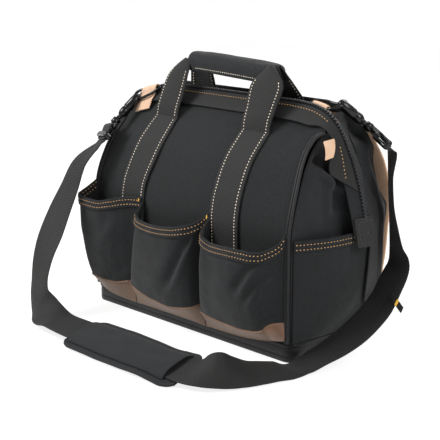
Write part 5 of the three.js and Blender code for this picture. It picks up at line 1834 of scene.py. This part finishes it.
def pocket_surface(pocket):
    """A pocket's outer face: its bottom row joined to its mouth row, with a belly, soft dents and creases."""
    mouth = {name: column(pocket["mouth"], "part", name) for name in ("x", "out", "up")}
    bottom = {name: column(pocket["bottom"], "part", name) for name in ("x", "out", "up")}

    def surface(u, v):
        x = mix(bottom["x"](u), mouth["x"](u), v)
        up = mix(bottom["up"](u), mouth["up"](u), v)
        out = mix(bottom["out"](u), mouth["out"](u), swell_share(v))
        free = clamp01((out - SLACK_AT) / SLACK_OVER)
        gathers = GATHER_HIGH * np.sin(2 * math.pi * (GATHERS * u + rumple(u, v, GATHER_DENTS, seed=61)))
        soft = POCKET_BROAD * rumple(u, v, POCKET_DENTS, seed=71)
        soft = soft + FINE_SHARE * rumple(u, v, POCKET_FINE_DENTS, seed=72) - POCKET_SUNK
        soft = soft + gathers * (1 - ease(v / GATHER_UP)) + BELLY * np.sin(math.pi * v) * free
        forward = out + (soft - pressed(u, v, pocket["creases"])) * free
        return stack(x, -(panel_depth(x, up) + forward), up)
    return surface


def foot_surface(pocket):
    """A foot's outer face: slightly bowed lines from the pocket's bottom edge in to a line on the base."""
    top_of = pocket_surface(pocket)
    first, last = pocket["bottom"]["x"][[0, -1]]

    def surface(u, v):
        top = top_of(u, np.zeros_like(v))
        heel = pocket["heel_from"] * (1 - u) ** 4 + pocket["heel_to"] * u**4
        x = mix(mix(first, last, u**FOOT_SLANT), top[..., 0], v)
        depth = mix(-FOOT_DEPTH, top[..., 1], v**FOOT_BOW)
        return stack(x, depth, mix(FOOT_LOW + heel, top[..., 2] - 2 * GAP, v))
    return surface


print("gathers to a pocket:", GATHERS)

# %% [markdown]
# Each pocket gets its face, a doubled hem with two rows of tan yarn, and a foot with a bead along its top.
# A foot bends round its pocket's right edge. The right one shines there in the photograph, so front and side
# are two walls. The right side gets a glossier, lighter brown leather: the gloss is real, the lighter colour
# a painted highlight. That is simpler than painting a mask.

# %% Front pockets
HEM_HIGH = 2.4
HEM_ROWS = (0.24, 0.74)
HEM_IN = 0.01
INSIDE_TO = 0.17
FOOT_LEATHER = 2.4
FOOT_SEWN_FROM = 0.2
FOOT_ROW = 0.86
FOOT_BEAD = 0.8
FOOT_BEAD_AT = 0.985
FOOT_BEAD_LIFT = 0.4
FOOT_BEAD_SIDES = 8
BAR_AT = 0.985
BAR_FROM = 0.66
BAR_TO = 0.96
POUCH_GRID = (116, 68, True)
HEM_GRID = (150, 12, True)
FOOT_GRID = (70, 14)
pocket_lines = []
foot_lines = []
foot_beads = []
bar_lines = []
for pocket in POCKETS:
    name = pocket["name"]
    face = pocket_surface(pocket)
    height = np.mean(pocket["mouth"]["up"] - pocket["bottom"]["up"])

    def hem_surface(u, v, face=face, height=height):
        """The doubled hem along the pocket's mouth."""
        return face(u, mix(1 - HEM / height, 1, v))

    foot = foot_surface(pocket)
    pouch_points = face(*grid(*POUCH_GRID))
    pouch = wall(f"pouch_{name}", pouch_points, -POCKET_CLOTH, 0, BLACK_CLOTH, [f"front_pocket_{name}"])
    cloth_sheet(pouch, pouch_points, "gathered", ["panel_front", f"foot_{name}"])
    hem_nodes = [f"front_pocket_hem_{name}"]
    wall(f"pouch_hem_{name}", hem_surface(*grid(*HEM_GRID)), GAP, HEM_HIGH, BLACK_CLOTH, hem_nodes)
    foot_u, foot_v = grid(*FOOT_GRID)
    front_foot = foot(foot_u * pocket["fold"], foot_v)
    side_foot = foot(mix(pocket["fold"], 1, foot_u), foot_v)
    wall(f"foot_{name}", front_foot, -FOOT_LEATHER, 0, TAUPE_LEATHER, [f"pocket_foot_{name}"])
    # The right foot's side gets the lighter brown leather: a painted highlight where it shines.
    side_finish = PIPING_AND_HIGHLIGHT_LEATHER if pocket is RIGHT_POCKET else TAUPE_LEATHER
    wall(f"foot_side_{name}", side_foot, -FOOT_LEATHER, 0, side_finish, slot="taupe")
    hem_run = mix(HEM_IN, 1 - HEM_IN, SEWN)
    pocket_lines += [line_on(hem_surface, hem_run, share, HEM_HIGH) for share in HEM_ROWS]
    if pocket is LEFT_POCKET:
        inside_run = mix(HEM_IN, INSIDE_TO, SEWN)
        for share in HEM_ROWS:
            inside, inside_up = line_on(hem_surface, inside_run, share, -POCKET_CLOTH - YARN_LIFT)
            pocket_lines.append((inside, -inside_up))
    foot_lines.append(line_on(foot, mix(FOOT_SEWN_FROM, 1, SEWN) * pocket["fold"], FOOT_ROW, 0))
    bead_line = line_on(foot, SEWN * pocket["fold"], FOOT_BEAD_AT, FOOT_BEAD_LIFT)[0]
    foot_beads.append(cord_along(bead_line, FOOT_BEAD, FOOT_BEAD_SIDES))
    if pocket is not RIGHT_POCKET:
        bar_lines.append(line_on(hem_surface, BAR_AT, mix(BAR_FROM, BAR_TO, SEWN), HEM_HIGH))
stitches("pocket_stitches", pocket_lines, *HEM_STITCH, TAN_YARN, "tan")
stitches("foot_stitches", foot_lines, *HEM_STITCH, BROWN_YARN, "taupe")
stitches("pocket_bars", bar_lines, *BAR_STITCH, YELLOW_YARN, "tan")
beads = joined(*foot_beads)
make("foot_piping", *beads[:2], PIPING_AND_HIGHLIGHT_LEATHER, beads[2], slot="taupe")
print("pockets made")

# %% [markdown]
# A tan sheet stands off the back as a wide paper pocket, with a black hem along its top edge. A plane with a
# bend modifier would curve evenly. The sheet is fullest at mid height, so one table gives its depth and
# another its half width.

# %% Back sheet
SHEET = table(
    "up depth",
    (45, 88.8),
    (70, 97),
    (95, 101),
    (149, 115),
    (184, 127),
    (235, 115),
    (276, 88),
    (300, 64),
    (314, 52),
    (327, 46),
)
sheet_depth = column(SHEET, "up", "depth")
SHEET_SIDE = table(
    "up half",
    (45, 199),
    (110, 199),
    (150, 194),
    (183, 187.5),
    (228, 187),
    (273, 186),
    (290, 188),
    (300, 187),
    (309.4, 183.5),
    (318, 168),
    (325, 140),
)
sheet_half = column(SHEET_SIDE, "up", "half")
SHEET_LOW = 45
SHEET_TOP = 325
SHEET_THICK = 2.8
SHEET_HEM = 15
SHEET_HEM_ROW = 0.3
SHEET_WINDOW = 5
SHEET_DENT = 0.8
SHEET_DENTS = (5, 4)
SHEET_GRID = (72, 72)
SHEET_HEM_GRID = (120, 10)


def sheet_surface(u, v):
    """The sheet's back face, row by level row."""
    up = mix(SHEET_LOW, SHEET_TOP - SHEET_HEM - 2 * GAP, v)
    x = mix(1, -1, u) * sheet_half(up)
    window = clamp01(SHEET_WINDOW * u) * clamp01(SHEET_WINDOW * (1 - u))
    soft = (rumple(u, v, SHEET_DENTS, seed=81) - 1) * SHEET_DENT * window
    return stack(x, sheet_depth(up) + soft, up)


def sheet_hem_surface(u, v):
    """The hem along the sheet's top edge, cut back at both corners."""
    up = mix(SHEET_TOP - SHEET_HEM, SHEET_TOP, v)
    return stack(mix(1, -1, u) * sheet_half(up), sheet_depth(up), up)


sheet_points = sheet_surface(*grid(*SHEET_GRID))
back_sheet = wall("sheet", sheet_points, -SHEET_THICK, 0, TAN_LEATHER, ["back_sheet"])
cloth_sheet(back_sheet, sheet_points, "stretched", ["panel_back", "gusset_left", "gusset_right"])
sheet_hem_points = sheet_hem_surface(*grid(*SHEET_HEM_GRID))
wall("sheet_hem", sheet_hem_points, -SHEET_THICK, 0, BLACK_CLOTH, ["back_sheet_hem"])
hem_line = line_on(sheet_hem_surface, SEWN, SHEET_HEM_ROW, 0.0)
stitches("sheet_hem_stitches", [hem_line], *HEM_STITCH, TAN_YARN, "tan")
print("back sheet made")

# %% [markdown]
# Soft black gussets close the sheet's ends. Bridging two edges would give a flat strip. Here each row starts
# over the end pocket, follows the end, turns the corner and dents before it meets the sheet.

# %% Gusset shapes
GUSSET = table(
    "up from edge",
    (56, 48, 202.4),
    (100, 48, 197),
    (150, 47, 191),
    (179, 46, 185),
    (190, 45.5, 176),
    (202, 45, 169),
    (231, 43, 169),
    (250, 42, 174),
)
gusset_from = column(GUSSET, "up", "from")
gusset_edge = column(GUSSET, "up", "edge")
GUSSET_LOW = 56
GUSSET_TOP = 244
GUSSET_CLOTH = 1.6
GUSSET_SEAM = 2.2
GUSSET_CLEAR = 202.6
GUSSET_OVER_HEM = 5.2
GUSSET_FOLLOW = 50
GUSSET_DENT = 12
DENT_FROM = 215
DENT_OVER = 30
GUSSET_SOFT = 0.9
GUSSET_DENTS = (3, 6)
GUSSET_WINDOW = 5


def gusset_surface(end):
    """A gusset's outer face: from over the end pocket's hem back to the sheet's edge."""
    def surface(u, v):
        up = mix(GUSSET_LOW, GUSSET_TOP, v)
        last = sheet_depth(up) - SHEET_THICK - GUSSET_SEAM
        share = u if end > 0 else 1 - u
        y = mix(gusset_from(up), last, share)
        pocket_face = end_pocket_x(np.minimum(y, END_POCKET_HALF), np.minimum(up, END_POCKET_TOP), end)
        over_end = np.maximum(end_x(y, up, end) + GUSSET_CLOTH + 4 * GAP, GUSSET_CLEAR)
        follow = ease((up - END_POCKET_TOP) / GUSSET_FOLLOW)
        near = mix(pocket_face + GUSSET_OVER_HEM, over_end, follow)
        corner = panel_depth(np.full(np.shape(up), end * HALF, float), up) + PIPING_RADIUS
        turn = ease((y - corner) / (last - corner))
        dent = GUSSET_DENT * ease((up - DENT_FROM) / DENT_OVER) * np.sin(math.pi * turn) ** 2
        window = clamp01(GUSSET_WINDOW * share) * clamp01(GUSSET_WINDOW * (1 - share))
        soft = GUSSET_SOFT * rumple(share, v, GUSSET_DENTS, seed=91 + end) * window
        return stack(end * (mix(near, gusset_edge(up), turn) - dent + soft), y, up)
    return surface


print("gusset height in mm:", GUSSET_TOP - GUSSET_LOW)

# %% [markdown]
# Above each gusset a flap of the same cloth fills the space between the mouth's band and the sheet, folded
# in under its top. It could be part of the gusset's own surface. As a second one it has its own fold, and its
# lower edge repeats the gusset's top row, so that no gap opens.

# %% Gussets and flaps
FLAP_TOP = 314
FLAP_SIDE = table(
    "part x y up",
    (0, 203, 42, 244),
    (0.4, 202, 34, 268),
    (0.65, 198, 30, 282),
    (0.85, 188, 25, 296),
    (1, 166, 21, 309),
)
FLAP_HOLLOW = 11
HOLLOW_AT = 0.66
HOLLOW_WIDE = 0.2
FLAP_FOLD = 4
FOLD_AT = 0.36
FOLD_WIDE = 0.12
FLAP_INSET = 3
FLAP_BACK = 0.4
EDGE_EASE = 3
HOLLOW_EASE = 4
SAG_EASE = 2
FLAP_GRID = (40, 50)
GUSSET_GRID = (40, 72)


def flap_surface(end):
    """The gusset's upper part: between the mouth's band and the sheet, folded in under its top."""
    side = {name: column(FLAP_SIDE, "part", name) for name in ("x", "y", "up")}
    below = gusset_surface(end)

    def surface(u, v):
        share = u if end > 0 else 1 - u
        up = mix(GUSSET_TOP, FLAP_TOP, v)
        near_edge = mix(gusset_edge(up), sheet_half(up) - FLAP_INSET, ease(EDGE_EASE * v))
        near = stack(end * side["x"](v), side["y"](v), side["up"](v))
        far = stack(end * near_edge, sheet_depth(up) - SHEET_THICK - GUSSET_SEAM, up)
        foot = below(u, np.ones_like(v))
        first = below(np.full_like(u, 0.0 if end > 0 else 1.0), np.ones_like(v))
        last = below(np.full_like(u, 1.0 if end > 0 else 0.0), np.ones_like(v))
        straight = mix(near, far, share[..., None])
        slack = (foot - mix(first, last, share[..., None])) * (1 - v)[..., None]
        hollow = FLAP_HOLLOW * np.exp(-(((v - HOLLOW_AT) / HOLLOW_WIDE) ** 2))
        hollow = hollow - FLAP_FOLD * np.exp(-(((v - FOLD_AT) / FOLD_WIDE) ** 2))
        inward = hollow * np.sin(math.pi * share) * ease(HOLLOW_EASE * v)
        sag = ridge_sag(straight[..., 0]) * ease(SAG_EASE * v)
        return straight + slack - stack(end * inward, FLAP_BACK * inward, sag)
    return surface


for end, hand in ENDS:
    flap_points = flap_surface(end)(*grid(*FLAP_GRID))
    flap = wall(f"gusset_flap_{hand}", flap_points, -GUSSET_CLOTH, 0, SMOOTH_CLOTH, slot="cloth")
    gusset_points = gusset_surface(end)(*grid(*GUSSET_GRID))
    gusset = wall(f"gusset_{hand}", gusset_points, -GUSSET_CLOTH, 0, SMOOTH_CLOTH, [f"back_gusset_{hand}"])
    cloth_sheet(flap, flap_points, "folded", ["band_back", "sheet"])
    cloth_sheet(gusset, gusset_points, "folded", [f"end_{hand}", "sheet"])
print("gussets and flaps made")

# %% [markdown]
# The handles are four legs of ribbed web, sewn up the panels with two rows of cream yarn and free above. A
# shrinkwrap modifier could lay them on the panels. The panels' depth is a function, so a leg just reads it,
# and above the seam it passes to a table of its own.

# %% Handle legs
HANDLE_SEWN_UP = 285
LEG_LIFT = 0.8
LEG_FREE_OVER = 34
LEG_CURL = 3.5
LEG_STITCH = 0.41
LEG_STITCH_TOP = 351
INNER_SEAM_FROM = 0.06
INNER_SEAM_LIFT = 0.3
LEG_GRID = (9, 620)
LEFT_LEG = table(
    "up x width deep",
    (50, -108, 51, 40),
    (183, -106, 51, 40),
    (250, -94.5, 56, 38),
    (288, -91, 49, 37),
    (311, -87.5, 45, 34),
    (333, -84, 42, 28.5),
    (345, -81.5, 37, 25),
    (357, -76, 25, 20.5),
    (367, -71.5, 9, 15.5),
)
BACK_LEFT_LEG = table(
    "up x width deep",
    (50, -108, 51, 40),
    (183, -106, 51, 40),
    (288, -88, 50, 37),
    (320, -79, 50, 26),
    (345, -76, 44, 20),
    (357, -74, 28, 14),
    (367, -70, 8, 10),
)
RIGHT_LEG = table(
    "up x width deep",
    (50, 84, 51, 40),
    (173, 84, 51, 40),
    (288, 89, 48, 37),
    (315, 91.5, 52, 33),
    (342, 95, 58, 26),
    (351, 96, 50, 23.5),
    (361, 96, 27, 20.3),
    (369, 94.5, 8, 16.5),
)
BACK_RIGHT_LEG = table(
    "up x width deep",
    (50, 84, 51, 40),
    (173, 84, 51, 40),
    (288, 90, 49, 37),
    (308, 94, 47, 31),
    (324, 96, 44, 26),
    (340, 95, 29, 20),
    (358, 93, 14, 11),
    (369, 91, 6, 6),
)
LEGS = (
    ("front_left", LEFT_LEG, FRONT),
    ("back_left", BACK_LEFT_LEG, BACK),
    ("front_right", RIGHT_LEG, FRONT),
    ("back_right", BACK_RIGHT_LEG, BACK),
)
LEG_LOW = {FRONT: 56, BACK: 72}


def leg_surface(rows, side):
    """A leg's inner face: on the panel as far as it is sewn, then free, narrowing to its top at the grip."""
    leg_x = column(rows, "up", "x")
    leg_width = column(rows, "up", "width")
    leg_deep = column(rows, "up", "deep")
    top = rows["up"][-1]

    def surface(u, v):
        up = mix(LEG_LOW[side], top, v)
        x = leg_x(up) - side * (u - 0.5) * leg_width(up)
        sewn = panel_depth(x, np.minimum(up, HANDLE_SEWN_UP)) + LEG_LIFT
        share = ease((up - HANDLE_SEWN_UP) / LEG_FREE_OVER)
        free = leg_deep(up) - LEG_CURL * (2 * u - 1) ** 2
        return stack(x, side * mix(sewn, free, share), up)
    return surface


leg_lines = []
cross_lines = []
for leg_name, rows, side in LEGS:
    leg = leg_surface(rows, side)
    nodes = [f"handle_{leg_name}"]
    ribbon(f"leg_{leg_name}", leg(*grid(*LEG_GRID)), CLOTH, BLACK_WEB, nodes, CLOTH / 2, FINE_RIBS)
    tall = rows["up"][-1] - LEG_LOW[side]
    across_at = (HANDLE_SEWN_UP - LEG_LOW[side]) / tall
    seam_to = (LEG_STITCH_TOP - LEG_LOW[side]) / tall
    inner_run = mix(across_at + INNER_SEAM_FROM, seam_to, SEWN)
    for offset in (-LEG_STITCH, LEG_STITCH):
        leg_lines.append(line_on(leg, 0.5 + offset, SEWN * seam_to, CLOTH + YARN_LIFT))
        inside, inside_up = line_on(leg, 0.5 + offset, inner_run, -INNER_SEAM_LIFT)
        leg_lines.append((inside, -inside_up))
    cross_lines.append(line_on(leg, 0.5 + LEG_STITCH * (2 * SEWN - 1), across_at, CLOTH))
stitches("leg_stitches", leg_lines, *LEG_SEAM, CREAM_YARN, "tan")
stitches("leg_cross_stitches", cross_lines, *HEM_STITCH, BLACK_YARN, "webbing")
print("legs made:", len(LEGS))

# %% [markdown]
# The legs meet in a grip of foam wrapped in cloth, sewn shut along its lower front. A cylinder would be too
# even, so it is an oval tube in code, square at its ends, with a flange at the seam and a few soft creases.

# %% Grip
GRIP = table(
    "x up size",
    (-70, 363.2, 0.8),
    (-69, 363.3, 0.95),
    (-64, 363.4, 0.99),
    (-40, 363.3, 1),
    (4, 362, 1),
    (63, 359.5, 1),
    (84, 358.4, 0.98),
    (92, 357.6, 0.92),
    (94, 357.4, 0.75),
)
grip_up = column(GRIP, "x", "up")
grip_size = column(GRIP, "x", "size")
GRIP_HALF_HEIGHT = 14.8
GRIP_HALF_DEPTH = 17.5
GRIP_SQUARE = 0.85
GRIP_SEAM = 0.575
GRIP_FLANGE = 0.045
GRIP_FLANGE_OUT = 0.09
GRIP_DENT = 0.015
GRIP_DENTS = (6, 8)
GRIP_SEAM_FROM = 0.1
GRIP_SEAM_TO = 0.88
GRIP_GRID = (97, 100)
GRIP_CREASES = (
    (0.2, 0.03, 0.32, 0.2, 0.05, 0.05),
    (0.22, 0.97, 0.34, 0.8, 0.05, 0.05),
    (0.42, 0.1, 0.44, 0.5, 0.03, 0.05),
)


def grip_surface(u, v):
    """The wrap's face: an oval tube, square at its ends, with a flange under the seam at its lower front."""
    angle = 2 * math.pi * (1 - u)
    x = mix(GRIP["x"][0], GRIP["x"][-1], v)
    flange = GRIP_FLANGE_OUT * np.exp(-(((1 - u) - GRIP_SEAM - GRIP_FLANGE) / GRIP_FLANGE) ** 4)
    soft = 1 - GRIP_DENT * (1 - rumple(u, v, GRIP_DENTS, seed=101)) - pressed(1 - u, v, GRIP_CREASES) + flange
    size = grip_size(x) * soft
    across = np.sign(np.cos(angle)) * np.abs(np.cos(angle)) ** GRIP_SQUARE
    high = np.sign(np.sin(angle)) * np.abs(np.sin(angle)) ** GRIP_SQUARE
    return stack(x, GRIP_HALF_DEPTH * size * across, grip_up(x) + GRIP_HALF_HEIGHT * size * high)


grip_u, grip_v = grid(*GRIP_GRID)
grip_body = tube(grip_surface(grip_u, grip_v)[:, :-1])
grip = make("grip_wrap", *grip_body[:2], SMOOTH_CLOTH, grip_body[2], ["grip"])
grip_run = mix(GRIP_SEAM_FROM, GRIP_SEAM_TO, SEWN)
grip_seam = line_on(grip_surface, 1 - GRIP_SEAM, grip_run, YARN_LIFT)
stitches("grip_stitches", [grip_seam], *LEG_SEAM, CREAM_YARN, "tan")
print("grip made")

# %% [markdown]
# Tan leather makes the two ring tabs, folded over the rings, and one plain tab at the right. A bent plane
# could be set at each ring. Here one line in a tab's own plane, down the band and over the ring's wire, is
# carried along the bag, so that the leather lies on the band at both ends.

# %% Leather tabs
LEATHER = 2.2
TAB_STEPS = 90
TAB_ACROSS = 18
TAB = table(
    "down off",
    (42, 0.2),
    (36, 1.6),
    (30, 3.9),
    (22, 4.2),
    (14.5, 7.4),
    (11.8, 9.6),
    (9, 10.7),
    (6.1, 9.5),
    (5.2, 6.9),
    (6.6, 4.2),
)
tab_line = spline(np.stack([TAB["down"], TAB["off"]], axis=-1), np.linspace(0, 1, TAB_STEPS))
for place in (LEFT_END, RIGHT_END):
    tab_across = np.linspace(*place["tab"], TAB_ACROSS)
    tab_points = band_place(place, tab_across[None, :], tab_line[:, :1], tab_line[:, 1:], place["tab"])
    nodes = [f"ring_tab_{place['name']}"]
    wall(f"leather_tab_{place['name']}", tab_points, -LEATHER / 2, LEATHER / 2, TAN_LEATHER, nodes)

PLAIN_TAB = np.array([
    [(208, -30.5, 263.2), (208, -17.5, 265)],
    [(204, -29.5, 284.2), (204, -11.5, 285.6)],
])
PLAIN_TAB_BOW = 2.0
PLAIN_TAB_GRID = (24, 36)


def plain_tab(u, v):
    """The plain tab under the front band at the right end: its four corners joined, with a slight bow."""
    low = mix(PLAIN_TAB[0, 0], PLAIN_TAB[0, 1], u[..., None])
    high = mix(PLAIN_TAB[1, 0], PLAIN_TAB[1, 1], u[..., None])
    return mix(low, high, v[..., None]) + stack(PLAIN_TAB_BOW * np.sin(math.pi * v), 0, 0)


wall("plain_tab", plain_tab(*grid(*PLAIN_TAB_GRID)), 0, LEATHER, TAN_LEATHER, ["end_tab_right"])
print("tabs made")

# %% [markdown]
# The floor is a pale studio sheet and isn't part of the bag. A white plane alone turns grey under soft lamps,
# so the floor also gives some light of its own.

# %% Floor
FLOOR_SIZE = 6.0
FLOOR_LOOK = {
    "Base Color": (0.3, 0.3, 0.3, 1),
    "Roughness": 0.9,
    "Specular IOR Level": 0.0,
    "Emission Color": (1, 1, 1, 1),
    "Emission Strength": 0.82,
}
bpy.ops.mesh.primitive_plane_add(size=FLOOR_SIZE)
floor = bpy.context.object
floor.name = "studio_floor"
floor_finish, _, floor_shader = start_finish("studio_white")
for socket, value in FLOOR_LOOK.items():
    floor_shader.inputs[socket].default_value = value
floor.data.materials.append(floor_finish)
print("floor made")

# %% [markdown]
# The strap is a cord, the cloth pieces are sheets, and the pad and grip are padded. The strap's path is
# worked out as a cord, and each sheet's flat size is printed.

# %% Soft pieces
CORD_STEPS = 240
cord_path = strap_frame(np.linspace(0, 1, CORD_STEPS))[0] * MM + MIDDLE
for piece, flat, held, rests_on in sheets:
    print("sheet", piece.name, "cut to", [round(side, 3) for side in flat])
